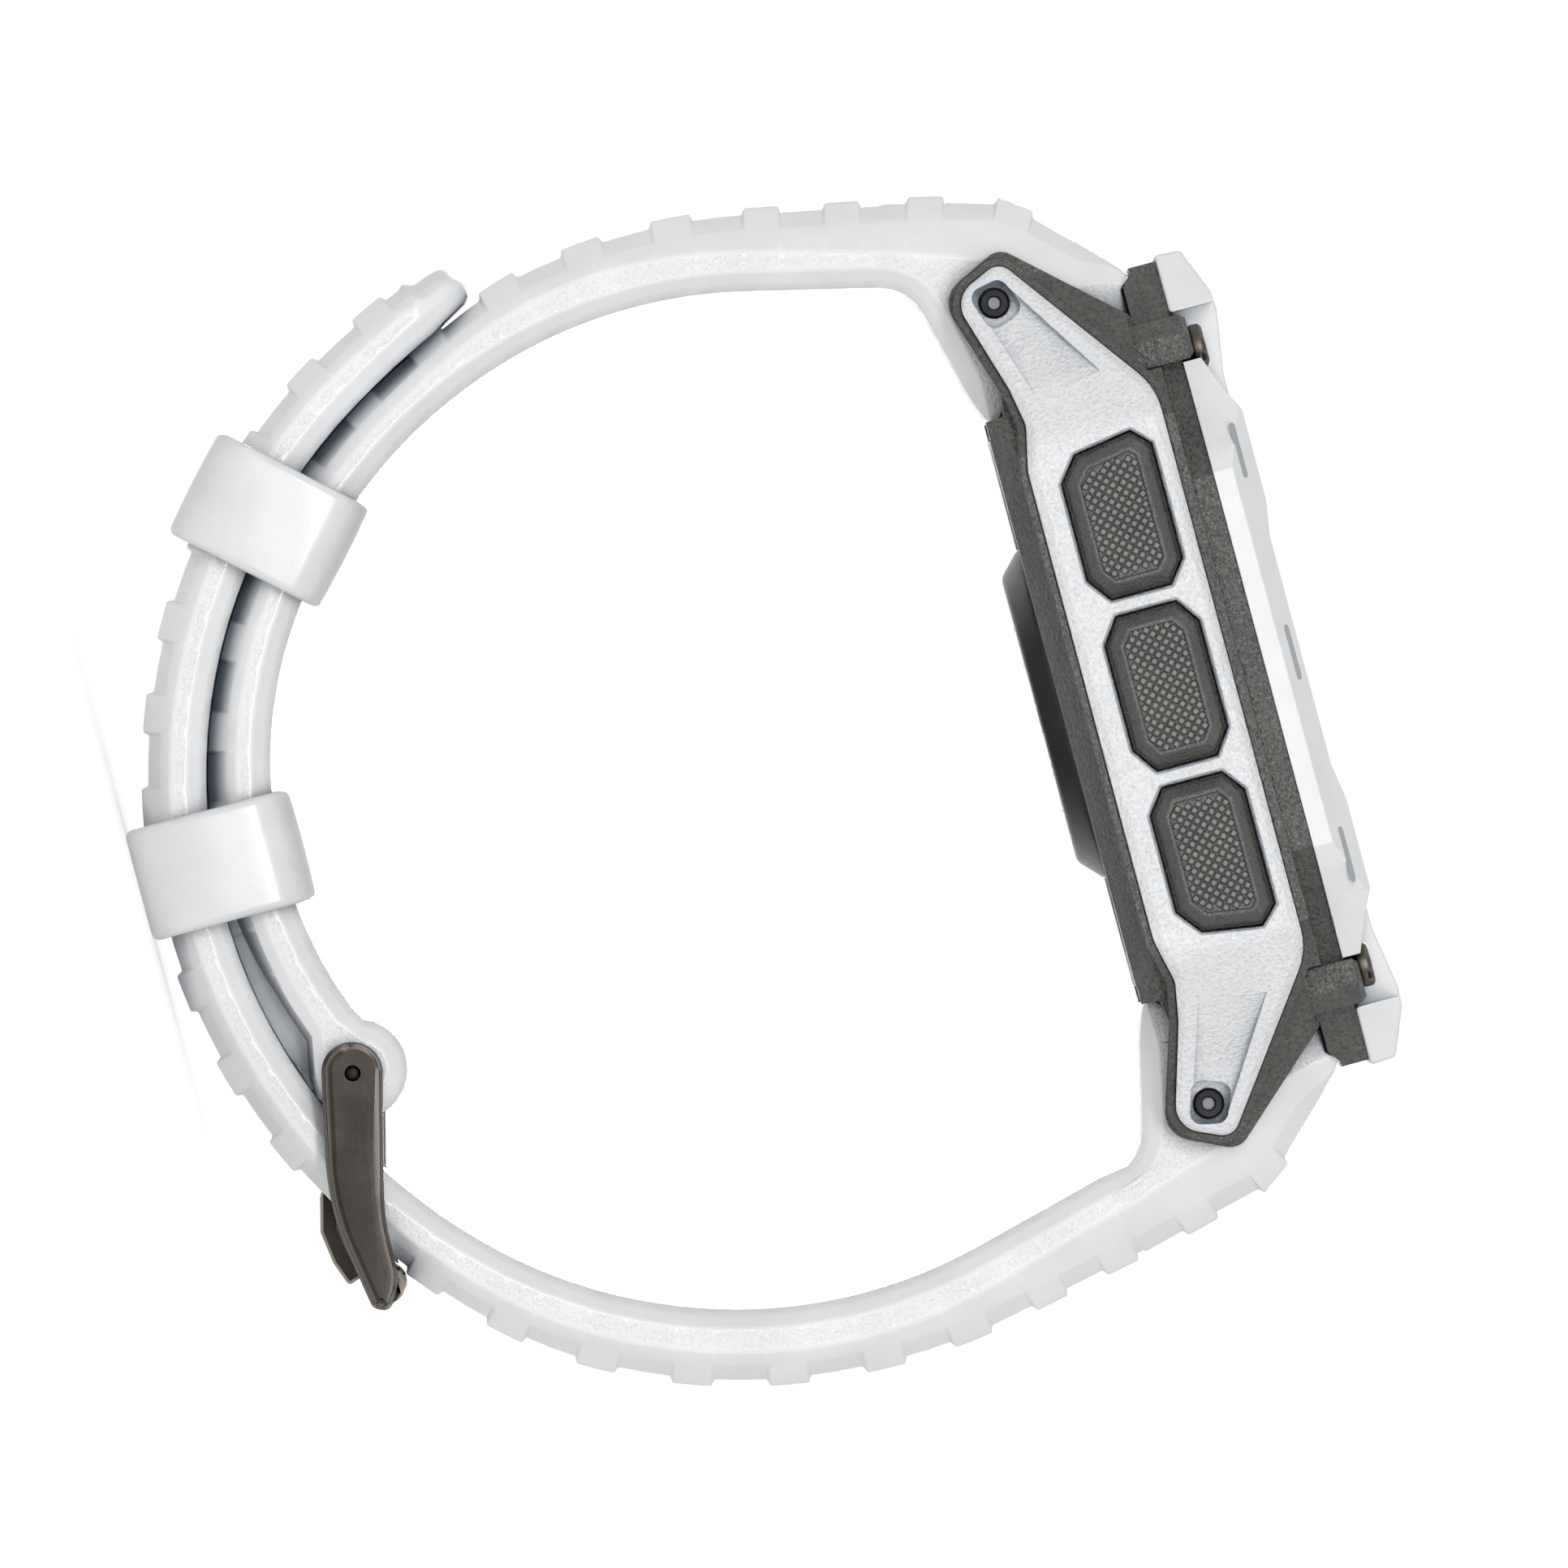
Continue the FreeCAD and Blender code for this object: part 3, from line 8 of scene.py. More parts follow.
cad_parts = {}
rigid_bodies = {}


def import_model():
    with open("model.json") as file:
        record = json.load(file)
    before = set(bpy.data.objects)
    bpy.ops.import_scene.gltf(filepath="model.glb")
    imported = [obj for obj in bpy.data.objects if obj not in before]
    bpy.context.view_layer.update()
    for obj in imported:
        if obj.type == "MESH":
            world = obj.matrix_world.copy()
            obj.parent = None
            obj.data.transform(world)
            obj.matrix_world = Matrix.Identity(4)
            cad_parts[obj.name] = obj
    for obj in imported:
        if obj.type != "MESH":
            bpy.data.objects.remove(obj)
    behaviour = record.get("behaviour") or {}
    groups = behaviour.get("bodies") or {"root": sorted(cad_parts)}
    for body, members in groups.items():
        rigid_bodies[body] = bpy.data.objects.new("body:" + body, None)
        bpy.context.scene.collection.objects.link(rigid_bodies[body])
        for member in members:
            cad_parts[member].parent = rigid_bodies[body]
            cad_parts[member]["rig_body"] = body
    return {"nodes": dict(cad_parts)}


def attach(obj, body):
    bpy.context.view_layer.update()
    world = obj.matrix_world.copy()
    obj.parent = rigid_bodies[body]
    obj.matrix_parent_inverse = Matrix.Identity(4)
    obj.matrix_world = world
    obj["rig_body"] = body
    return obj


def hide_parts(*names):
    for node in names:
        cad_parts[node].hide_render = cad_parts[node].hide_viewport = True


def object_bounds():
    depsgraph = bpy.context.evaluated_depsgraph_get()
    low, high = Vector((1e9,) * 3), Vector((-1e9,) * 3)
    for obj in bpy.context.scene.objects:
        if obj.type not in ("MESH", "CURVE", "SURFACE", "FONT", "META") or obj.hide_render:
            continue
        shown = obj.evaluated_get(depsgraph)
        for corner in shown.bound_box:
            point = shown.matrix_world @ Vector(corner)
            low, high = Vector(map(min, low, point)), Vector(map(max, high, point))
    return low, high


# Rugged sports watch with its strap buckled into a loop, standing on the loop.
# +Z points out of the display, +Y to 12 o'clock and +X to 3 o'clock. The scene is in
# metres and the named sizes are in millimetres, except those of the studio.

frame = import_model()
nodes = frame["nodes"]
cad_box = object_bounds()
MM = 0.001


# ---------------------------------------------------------------- mid case
# The load-bearing shell: glass-fibre filled polyamide, injection moulded in one
# piece with its four lug ears. Spark-eroded mould faces leave a fine wrinkle.
MOTTLE = 2.86         # patches of slightly different tone in moulded polymer
PAINTED_SHADE_REACH = 1.6      # corners narrower than this get painted shade


def linear(code):
    """Linear colour with alpha from an sRGB hex value."""
    parts = [int(code[i:i + 2], 16) / 255 for i in (1, 3, 5)]
    return [p / 12.92 if p <= 0.04045 else ((p + 0.055) / 1.055) ** 2.4
            for p in parts] + [1.0]


def add(tree, kind, settings=None, links=None):
    """Adds one node, sets its sockets or properties, and links its inputs."""
    node = tree.nodes.new(kind)
    for name, value in (settings or {}).items():
        if isinstance(name, int) or name in node.inputs:
            node.inputs[name].default_value = value
        else:
            setattr(node, name, value)
    for name, source in (links or {}).items():
        tree.links.new(source, node.inputs[name])
    return node


def new_material(name, **surface):
    """A material with one Principled surface; returns it with its tree and shader."""
    material = bpy.data.materials.new(name)
    material.use_nodes = True
    tree = material.node_tree
    shader = tree.nodes["Principled BSDF"]
    for socket, value in surface.items():
        shader.inputs[socket.replace("_", " ")].default_value = value
    return material, tree, shader


def millimetres(tree):
    """Object coordinates scaled so that one unit is one millimetre."""
    place = add(tree, "ShaderNodeTexCoord")
    return add(tree, "ShaderNodeVectorMath", {"operation": "SCALE", "Scale": 1 / MM},
               {0: place.outputs["Object"]}).outputs[0]


def tones(tree, pattern, levels, first, second):
    """Goes from a first tone to a second, each hex or linked, as a pattern rises."""
    share = add(tree, "ShaderNodeMapRange", {"From Min": levels[0], "From Max": levels[1]},
                {"Value": pattern})
    mix = add(tree, "ShaderNodeMix", {"data_type": "RGBA"}, {0: share.outputs["Result"]})
    for socket, tone in ((mix.inputs[6], first), (mix.inputs[7], second)):
        if isinstance(tone, str):
            socket.default_value = linear(tone)
        else:
            tree.links.new(tone, socket)
    return mix.outputs[2]


def clouded(tree, patch, detail, levels, shades):
    """Two shades that drift into each other in patches of a size in millimetres."""
    noise = add(tree, "ShaderNodeTexNoise", {"Scale": 1 / patch, "Detail": detail},
                {"Vector": millimetres(tree)})
    return tones(tree, noise.outputs["Fac"], levels, *shades)


def grain_height(tree, size):
    """Wrinkled mould grain, one wrinkle every size millimetres."""
    place = millimetres(tree)
    cells = add(tree, "ShaderNodeTexVoronoi", {"feature": "SMOOTH_F1", "Scale": 1 / size,
                                               "Smoothness": 0.6}, {"Vector": place})
    folds = add(tree, "ShaderNodeTexNoise", {"Scale": 1.1 / size, "Detail": 2.0,
                                             "Distortion": 0.8}, {"Vector": place})
    return add(tree, "ShaderNodeMath", {"operation": "MULTIPLY_ADD", 1: 0.6},
               {0: cells.outputs["Distance"], 2: folds.outputs["Fac"]}).outputs[0]


def rounded_edges(tree, radius):
    """Shading normal with every edge eased by a radius in millimetres."""
    return add(tree, "ShaderNodeBevel", {"samples": 4, "Radius": radius * MM}).outputs[0]


def shaded_corners(tree, colour, corner_shade, reach):
    """Paints shade over a colour where walls close in within a reach in millimetres."""
    near = add(tree, "ShaderNodeAmbientOcclusion", {"samples": 6, "Distance": reach * MM})
    return tones(tree, near.outputs["AO"], (0.1, 0.75), corner_shade, colour)


def grained_polymer(name, shades, roughness, grain, depth, edge=0.12, corner_shade=None, valley_shade=None,
                    gloss=0.5):
    """Moulded polymer: grain of one size and depth in millimetres, slight mottling,
    and painted shade in the grain's valleys and in narrow corners when asked.
    """
    material, tree, shader = new_material(name, Roughness=roughness, IOR=1.5,
                                          Specular_IOR_Level=gloss)
    height = grain_height(tree, grain)
    bump = add(tree, "ShaderNodeBump", {"Strength": 1.0, "Distance": depth * MM},
               {"Height": height, "Normal": rounded_edges(tree, edge)})
    colour = clouded(tree, MOTTLE, 4.0, (0.35, 0.65), shades)
    # Painted shade: the grain's valleys are coloured darker.
    if valley_shade:
        colour = tones(tree, height, (0.5, 0.95), valley_shade, colour)
    # Painted shade where walls close in.
    if corner_shade:
        colour = shaded_corners(tree, colour, corner_shade, PAINTED_SHADE_REACH)
    tree.links.new(colour, shader.inputs["Base Color"])
    tree.links.new(bump.outputs["Normal"], shader.inputs["Normal"])
    return material


def coat(material, *names):
    """Gives CAD nodes whose form is already right their finish."""
    for name in names:
        nodes[name].data.materials.clear()
        nodes[name].data.materials.append(material)


# To the eye: warm charcoal, nearly matt, with small glints on the wrinkle's ridges.
# The grain's valleys take a darker tone: painted shade.
dark_polyamide = grained_polymer("moulded_dark_polyamide", ("#545350", "#605e5a"), 0.3,
                                 0.26, 0.1, valley_shade="#403f3c", gloss=0.35)
coat(dark_polyamide, "mid_case")


# ---------------------------------------------------------------- side guards
# White bumper plates over the case sides: the same polyamide and grain in white,
# with a wide bevel all round and a channel down to each lug pin.

# CASE_PLAN is half the case side in x and y. Outlines are in y and z, some with corner
# radii, and floors list how deep a cut is at a y.
CASE_PLAN = ((24.4, 0.0), (24.4, 15.7), (21.7, 19.8), (17.0, 26.6), (15.6, 31.0))
GUARD_HALF = ((14.5, 3.1, 3.0), (17.2, 3.72, 1.5), (19.6, 3.3, 2.0), (25.7, 1.48, 1.6),
              (27.13, 4.71, 1.0), (17.43, 11.8, 4.0))
GUARD_DEPTH = 2.2
BEVEL_SIDE = 0.65     # width of the bevel along the sides, and at the arm's tip
BEVEL_TIP = 0.35
NARROW_FROM = 17.0    # it narrows from here over this length
NARROW_OVER = 8.0
BEVEL_STEPS = ((0.0, 0.85), (0.05, 0.62), (0.7, 0.05), (1.0, 0.0))
CHANNEL = ((18.7, 4.77), (25.45, 2.6, 0.45), (26.2, 4.4, 0.45), (19.26, 8.84))
CHANNEL_FLOOR = ((18.6, -0.1), (21.5, 0.8), (27.0, 0.8))
POCKET = ((25.75, 2.35, 0.7), (26.2, 4.55, 0.7), (24.0, 5.5, 0.7), (23.1, 3.2, 0.7))
POCKET_FLOOR = ((22.0, 1.7), (27.0, 1.7))
PIN_SPOT = (24.8, 3.8)
PIN_HOLE_R = 0.95
BUTTON_Z = 7.8
BUTTON_YS = {"left": (10.5, 0.0, -10.5), "right": (10.5, -10.5)}
CAP_MIDDLE = ((-3.2, -2.85), (3.2, -2.85), (4.68, -1.8), (4.68, 1.8), (3.25, 2.8),
              (-3.25, 2.8), (-4.68, 1.8), (-4.68, -1.8))
CAP_OUTER = ((-3.2, -2.85), (2.7, -2.85), (4.15, -1.7), (4.7, 1.8), (3.7, 2.8),
             (-3.3, 2.8), (-4.6, 1.8), (-4.6, -1.8))
CAP_AIR = 0.15        # gap round each button cap
MOUTH = 0.16          # bevel round the button openings
CUT_FROM = 5.0        # cutters reach from well inside the case to well outside it
CUT_TO = 30.0


def case_side(y, depth=0.0):
    """Distance from the middle plane to the case side, or to a depth below it."""
    reaches = []
    for (x0, y0), (x1, y1) in zip(CASE_PLAN, CASE_PLAN[1:]):
        lean = math.hypot(x1 - x0, y1 - y0) / (y1 - y0)
        reaches.append(x0 + (x1 - x0) * (abs(y) - y0) / (y1 - y0) - depth * lean)
    return reaches[-1] if abs(y) > CASE_PLAN[-2][1] else min(reaches[:-1])


def rounded(points, step=9):
    """Closed outline with each (a, b, radius) corner turned into an arc of points."""
    outline = []
    for before, here, after in zip(points[-1:] + points[:-1], points, points[1:] + points[:1]):
        corner = Vector(here[:2])
        if len(here) < 3:
            outline.append(corner)
            continue
        back = (Vector(before[:2]) - corner).normalized()
        ahead = (Vector(after[:2]) - corner).normalized()
        half = back.angle(ahead) / 2
        centre = corner + (back + ahead).normalized() * here[2] / math.sin(half)
        start = corner + back * here[2] / math.tan(half) - centre
        end = corner + ahead * here[2] / math.tan(half) - centre
        sweep = -start.angle_signed(end)
        count = max(2, math.ceil(abs(math.degrees(sweep)) / step))
        for i in range(count + 1):
            outline.append(centre + Matrix.Rotation(sweep * i / count, 2) @ start)
    return outline


def inset(outline, widths):
    """Closed outline moved inwards; widths is one number or one for each point."""
    if not hasattr(widths, "__len__"):
        widths = [widths] * len(outline)
    area = sum(a.x * b.y - b.x * a.y for a, b in zip(outline, outline[1:] + outline[:1]))
    moved = []
    for i, here in enumerate(outline):
        back = (here - outline[i - 1]).normalized()
        ahead = (outline[(i + 1) % len(outline)] - here).normalized()
        middle = (back + ahead).normalized()
        normal = Vector((-middle.y, middle.x)) * math.copysign(1.0, area)
        moved.append(here + normal * widths[i] / max(0.3, middle.dot(ahead)))
    return moved


def stacked(rings, form=None, endless=False):
    """Closed mesh through rings of equally many points: ends filled, or endless."""
    form = form or bmesh.new()
    loops = [[form.verts.new(p) for p in ring] for ring in rings]
    joined = loops + loops[:1] if endless else loops
    for low, high in zip(joined, joined[1:]):
        for i in range(len(low)):
            j = (i + 1) % len(low)
            form.faces.new((low[i], low[j], high[j], high[i]))
    if not endless:
        form.faces.new(loops[0])
        form.faces.new(loops[-1])
    return form


def creased(form, ys):
    """Cuts the mesh across at each y, so that it can bend there."""
    for y in ys:
        bmesh.ops.bisect_plane(form, geom=form.verts[:] + form.edges[:] + form.faces[:],
                               dist=1e-5, plane_co=(0, y, 0), plane_no=(0, 1, 0))
    return form


def made(form, name):
    """Object from a mesh drawn in millimetres."""
    bmesh.ops.recalc_face_normals(form, faces=form.faces)
    bmesh.ops.scale(form, vec=(MM, MM, MM), verts=form.verts)
    mesh = bpy.data.meshes.new(name)
    form.to_mesh(mesh)
    form.free()
    piece = bpy.data.objects.new(name, mesh)
    bpy.context.scene.collection.objects.link(piece)
    return piece


def carved(piece, cutters, tangled=False):
    """Cuts objects out of a piece and removes them."""
    for cutter in cutters:
        cut = piece.modifiers.new("cut", "BOOLEAN")
        cut.operation = "DIFFERENCE"
        cut.solver = "EXACT"
        cut.use_self = tangled
        cut.object = cutter
    bpy.context.view_layer.update()
    graph = bpy.context.evaluated_depsgraph_get()
    mesh = bpy.data.meshes.new_from_object(piece.evaluated_get(graph))
    piece.modifiers.clear()
    piece.data = mesh
    for cutter in cutters:
        bpy.data.objects.remove(cutter)
    return piece


def finished(piece, material, slot, body, *replaced, corner=35):
    """Shading, finish and place in the model, shared by every piece."""
    piece.data.shade_smooth()
    piece.data.set_sharp_from_angle(angle=math.radians(corner))
    even = piece.modifiers.new("even_shading", "WEIGHTED_NORMAL")
    even.keep_sharp = True
    piece.data.materials.clear()
    piece.data.materials.append(material)
    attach(piece, body)
    if replaced:
        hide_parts(*replaced)
    return piece


def side_prism(outline, x0, x1, name, side=1):
    """Straight prism across the watch over an outline in y and z."""
    rings = [[(side * x, p.x, p.y) for p in outline] for x in (x0, x1)]
    return made(stacked(rings), name)


def sunk(outline, floor, name, side):
    """Cutter over an outline whose inner end follows a floor of (y, depth) points."""
    form = stacked([[(x, p.x, p.y) for p in outline] for x in (0.0, 1.0)])
    creased(form, [y for x, y in CASE_PLAN[1:-1]] + [y for y, depth in floor])
    for vertex in form.verts:
        y = vertex.co.y
        depth = floor[0][1]
        for (y0, d0), (y1, d1) in zip(floor, floor[1:]):
            if y0 <= y <= y1:
                depth = d0 + (d1 - d0) * (y - y0) / (y1 - y0)
        vertex.co.x = side * (case_side(y, depth) if vertex.co.x < 0.5 else CUT_TO)
    return made(form, name)


def turned(points):
    """The same outline at the other end of the watch."""
    return tuple((-p[0],) + tuple(p[1:]) for p in points)[::-1]


def cap_outline(y):
    """Outline of one button cap in y and z."""
    points = CAP_MIDDLE if y == 0 else CAP_OUTER
    sign = -1 if y < 0 else 1
    return [Vector((y + sign * py, BUTTON_Z + pz)) for py, pz in points]


def side_guard(side_name):
    """Plate that follows the case side, with its channels, pin holes and openings."""
    side = -1 if side_name == "left" else 1
    outline = rounded(list(GUARD_HALF + turned(GUARD_HALF)))
    widths = []
    for p in outline:
        out = min(1.0, max(0.0, (abs(p.x) - NARROW_FROM) / NARROW_OVER))
        widths.append(BEVEL_SIDE + (BEVEL_TIP - BEVEL_SIDE) * out)
    rings = [[(GUARD_DEPTH, p.x, p.y) for p in outline]]
    for across, deep in BEVEL_STEPS:
        moved = inset(outline, [w * across for w in widths])
        rings.append([(w * deep, p.x, p.y) for p, w in zip(moved, widths)])
    form = creased(stacked(rings), [s * y for x, y in CASE_PLAN[1:3] for s in (-1, 1)])
    for vertex in form.verts:
        vertex.co.x = side * case_side(vertex.co.y, vertex.co.x)
    piece = made(form, "side_guard_%s_form" % side_name)
    cutters = []
    for end, flip in (("a", lambda p: p), ("b", turned)):
        for label, shape, floor in (("channel_", CHANNEL, CHANNEL_FLOOR),
                                    ("pocket_", POCKET, POCKET_FLOOR)):
            deep = floor if end == "a" else tuple((-y, d) for y, d in floor)[::-1]
            cutters.append(sunk(rounded(list(flip(shape))), deep, label + end, side))
        spot = Vector((PIN_SPOT[0] if end == "a" else -PIN_SPOT[0], PIN_SPOT[1]))
        circle = [spot + PIN_HOLE_R * Vector((math.cos(a), math.sin(a)))
                  for a in (math.tau * i / 32 for i in range(32))]
        cutters.append(side_prism(circle, CUT_FROM, CUT_TO, "pin_hole_" + end, side))
    for y in BUTTON_YS[side_name]:
        outer = CASE_PLAN[0][0]
        levels = ((CUT_FROM, 0.0), (outer - MOUTH, 0.0), (outer, MOUTH),
                  (outer + 1, MOUTH + 1))
        rings = [[(side * x, p.x, p.y) for p in inset(cap_outline(y), -CAP_AIR - wide)]
                 for x, wide in levels]
        cutters.append(made(stacked(rings), "opening_%d" % y))
    return carved(piece, cutters)


# To the eye: bright neutral white like fine leather, with painted blue-grey shade in
# its corners and slightly darker painted shade in its grain's valleys.
white_polyamide = grained_polymer("moulded_white_polyamide", ("#ebebeb", "#f2f2f2"), 0.34,
                                  0.27, 0.1, corner_shade="#97a3b0", valley_shade="#e0e1e3")
for side in ("left", "right"):
    finished(side_guard(side), white_polyamide, "white_polymer", "watch", "side_guard_" + side)


# ---------------------------------------------------------------- case back
# Moulded plate with four cross-head screws and a charging port with four gold
# plated spring contacts round a domed, black-tinted optical window.
TARNISH = 2.5         # patches of slightly different tone on bare metal


def metal(name, shades, roughness, grain, depth=0.004, edge=0.08):
    """Solid metal with a fine surface grain in millimetres and slight tarnish."""
    material, tree, shader = new_material(name, Metallic=1.0)
    speckle = add(tree, "ShaderNodeTexNoise", {"Scale": 1 / grain, "Detail": 2.0},
                  {"Vector": millimetres(tree)})
    tree.links.new(clouded(tree, TARNISH, 3.0, (0.35, 0.7), shades),
                   shader.inputs["Base Color"])
    rough = add(tree, "ShaderNodeMapRange", {"To Min": roughness - 0.06,
                                             "To Max": roughness + 0.08},
                {"Value": speckle.outputs["Fac"]})
    tree.links.new(rough.outputs["Result"], shader.inputs["Roughness"])
    bump = add(tree, "ShaderNodeBump", {"Distance": depth * MM},
               {"Height": speckle.outputs["Fac"], "Normal": rounded_edges(tree, edge)})
    tree.links.new(bump.outputs["Normal"], shader.inputs["Normal"])
    return material


def smooth(name, patch, detail, levels, shades, **surface):
    """Glassy material without any grain, clouded between two shades."""
    material, tree, shader = new_material(name, **surface)
    tree.links.new(clouded(tree, patch, detail, levels, shades), shader.inputs["Base Color"])
    return material


HOLE_RIM = 1.4        # edges this near the middle of a hole stay sharp
SAME_PLANE = 0.6      # faces that meet at less than this many degrees are joined
SAME_SPOT = 0.01      # and corners closer than this


def softened(node, width, material, slot, corner=28, steps=2, hole=None):
    """A CAD node's form with its convex edges, but not a hole's, rounded by a width."""
    source = nodes[node]
    form = bmesh.new()
    form.from_mesh(source.data)
    bmesh.ops.remove_doubles(form, verts=form.verts, dist=SAME_SPOT * MM)
    bmesh.ops.dissolve_limit(form, angle_limit=math.radians(SAME_PLANE), verts=form.verts,
                             edges=form.edges)
    sharp = [e for e in form.edges if len(e.link_faces) == 2 and e.is_convex
             and e.calc_face_angle() > math.radians(corner)
             and not (hole and (e.verts[0].co.yz / MM - Vector(hole)).length < HOLE_RIM)]
    bmesh.ops.bevel(form, geom=sharp, offset=width * MM, offset_type="OFFSET",
                    segments=steps, profile=0.5, affect="EDGES", clamp_overlap=False)
    bmesh.ops.scale(form, vec=(1 / MM, 1 / MM, 1 / MM), verts=form.verts)
    return finished(made(form, node + "_form"), material, slot, source["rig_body"], node)


# To the eye: screws of a brownish black that shines dully on the edges, satin gold
# contacts, a port of near-black satin, and a back plate dull enough to look dusty.
dark_screw = metal("blackened_steel", ("#4b4742", "#57524c"), 0.38, 0.08)
gold_plate = metal("gold_plating", ("#d8b25e", "#e6c67a"), 0.28, 0.05, 0.002)
black_insert = grained_polymer("moulded_black_insert", ("#1d1e20", "#25262a"), 0.4, 0.2, 0.01)
back_plate = grained_polymer("matt_dark_polyamide", ("#3b3a38", "#454341"), 0.62, 0.24, 0.03,
                             gloss=0.15)
coat(back_plate, "case_back")
coat(black_insert, "charge_port")
coat(gold_plate, "charge_contacts")
for index in range(1, 5):
    softened("back_screw_%d" % index, 0.06, dark_screw, "screw_steel")

# To the eye: deep black with a soft, wide reflection, clearest on the window's edge.
sensor_tint = smooth("tinted_optical_polycarbonate", 1.67, 3.0, (0.3, 0.7),
                     ("#141417", "#1b1b20"), Roughness=0.3, IOR=1.58, Specular_IOR_Level=0.3)
softened("sensor_window", 0.3, sensor_tint, "sensor_glass", steps=3)

# Light emitters and detectors behind their own round and square windows, alternating
# round a ring. To the eye: small glossy spots of dark green, and of dark plum.
SENSOR_RING = 5.2
SENSOR_LEVELS = ((0.3, 1.0), (0.0, 1.0), (-0.03, 0.9))   # height, and share of the size
emitter_lens = smooth("emitter_lens_epoxy", 0.83, 2.0, (0.35, 0.65), ("#33473a", "#42594a"),
                      Roughness=0.15, IOR=1.54)
detector = smooth("detector_filter_glass", 1.11, 2.0, (0.35, 0.65), ("#3a2630", "#46303b"),
                  Roughness=0.12, IOR=1.52)
for name, material, sides, radius, turn in (("emitters", emitter_lens, 32, 1.0, 0.0),
                                            ("detectors", detector, 4, 1.35, 60.0)):
    form = bmesh.new()
    for index in range(3):
        way = math.radians(turn + 120 * index)
        middle = SENSOR_RING * Vector((math.cos(way), math.sin(way)))
        spokes = [way + math.tau * (i + 0.5) / sides for i in range(sides)]
        corners = [radius * Vector((math.cos(a), math.sin(a))) for a in spokes]
        stacked([[(*(middle + p * share), level) for p in corners]
                 for level, share in SENSOR_LEVELS], form)
    finished(made(form, "sensor_" + name), material, "sensor_glass", "watch")


# ---------------------------------------------------------------- inside parts
# What the closed case holds: foil-wrapped cell, green circuit boards, antenna
# ring and vibration motor. Only the display shows, through the lens.
def solder_mask(name, shades):
    """Circuit board lacquer with copper tracks faintly raised under it."""
    material, tree, shader = new_material(name, Roughness=0.35, IOR=1.52)
    tracks = add(tree, "ShaderNodeTexBrick", {"Scale": 1.0, "Mortar Size": 0.08,
                                              "Brick Width": 1.7, "Row Height": 0.6,
                                              "Color1": linear(shades[0]),
                                              "Color2": linear(shades[1]),
                                              "Mortar": linear(shades[2])},
                 {"Vector": millimetres(tree)})
    tree.links.new(tracks.outputs["Color"], shader.inputs["Base Color"])
    bump = add(tree, "ShaderNodeBump", {"Distance": 0.02 * MM},
               {"Height": tracks.outputs["Fac"]})
    tree.links.new(bump.outputs["Normal"], shader.inputs["Normal"])
    return material


# To the eye: glossy green with raised tracks, crinkled silver foil, plain bright steel.
board_lacquer = solder_mask("green_solder_mask", ("#14502f", "#1a5c38", "#2c7a4d"))
cell_foil = metal("embossed_cell_foil", ("#b4b6ba", "#c4c6ca"), 0.35, 0.3, 0.02)
motor_can = metal("drawn_steel_can", ("#8f9092", "#a3a4a6"), 0.3, 0.1)
coat(board_lacquer, "sensor_board", "main_board")
coat(cell_foil, "battery")
coat(gold_plate, "gps_antenna")
coat(motor_can, "vibration_motor")


# ---------------------------------------------------------------- bezel base
# Frame of the case's dark polyamide that carries the lens. A screw in each of its
# four corner blocks holds it down on the case.
coat(dark_polyamide, "bezel_base")
for index in range(1, 5):
    softened("bezel_screw_%d" % index, 0.1, dark_screw, "screw_steel")


# ---------------------------------------------------------------- bezel covers
# Two side and two end covers moulded in white, snapped over the dark base.
# To the eye: plain satin white, smoother than the guards, with painted soft grey shade in
# its corners.
satin_polyamide = grained_polymer("satin_white_polyamide", ("#ececec", "#f1f1f1"), 0.45,
                                  0.2, 0.02, corner_shade="#a9b4c0")
coat(satin_polyamide, "bezel_side_left", "bezel_side_right")

# Plain pad-printed bar on the cover's slope next to each button. To the eye: thin
# mid-grey ink that stands out softly against the white.
MARK_HALF = (1.7, 0.3)   # along the case, and across the slope
MARK_CORNER = 0.28
MARK_LEVELS = (-0.05, 0.02)
MARK_AT = (22.25, 15.62)
MARK_YS = {"left": (12.5, 0.0, -12.5), "right": (12.5, -12.5)}
SLOPE_RUN = Vector((0.893, 0.45))


def oblong(half_long, half_wide, corner):
    """Rectangle with rounded corners about the origin."""
    return rounded([(a * half_long, b * half_wide, corner)
                    for a, b in ((1, 1), (-1, 1), (-1, -1), (1, -1))], 15)


pad_print = grained_polymer("grey_pad_print", ("#a4a7aa", "#adb0b2"), 0.5, 0.15, 0.005)
for side_name, ys in MARK_YS.items():
    side = -1 if side_name == "left" else 1
    form = bmesh.new()
    for y in ys:
        outline = oblong(*MARK_HALF, MARK_CORNER)
        stacked([[(side * (MARK_AT[0] - SLOPE_RUN.x * p.y + SLOPE_RUN.y * lift), y + p.x,
                   MARK_AT[1] + SLOPE_RUN.y * p.y + SLOPE_RUN.x * lift) for p in outline]
                 for lift in MARK_LEVELS], form)
    finished(made(form, "button_marks_" + side_name), pad_print, "white_polymer", "watch")

for name in ("bezel_end_upper", "bezel_end_lower"):
    softened(name, 0.2, satin_polyamide, "white_polymer")


# ---------------------------------------------------------------- lens
# Chemically strengthened glass, bonded on a black gasket over the display panel.
# To the eye: clear and sharp, with a hardly visible wiped tint.
glass = smooth("strengthened_glass", 6.67, 2.0, (0.3, 0.7), ("#f4f7f8", "#fbfdfd"),
               Roughness=0.02, IOR=1.5, Transmission_Weight=1.0)
coat(glass, "lens_glass")

DOTS = 6.0            # of the display, to a millimetre


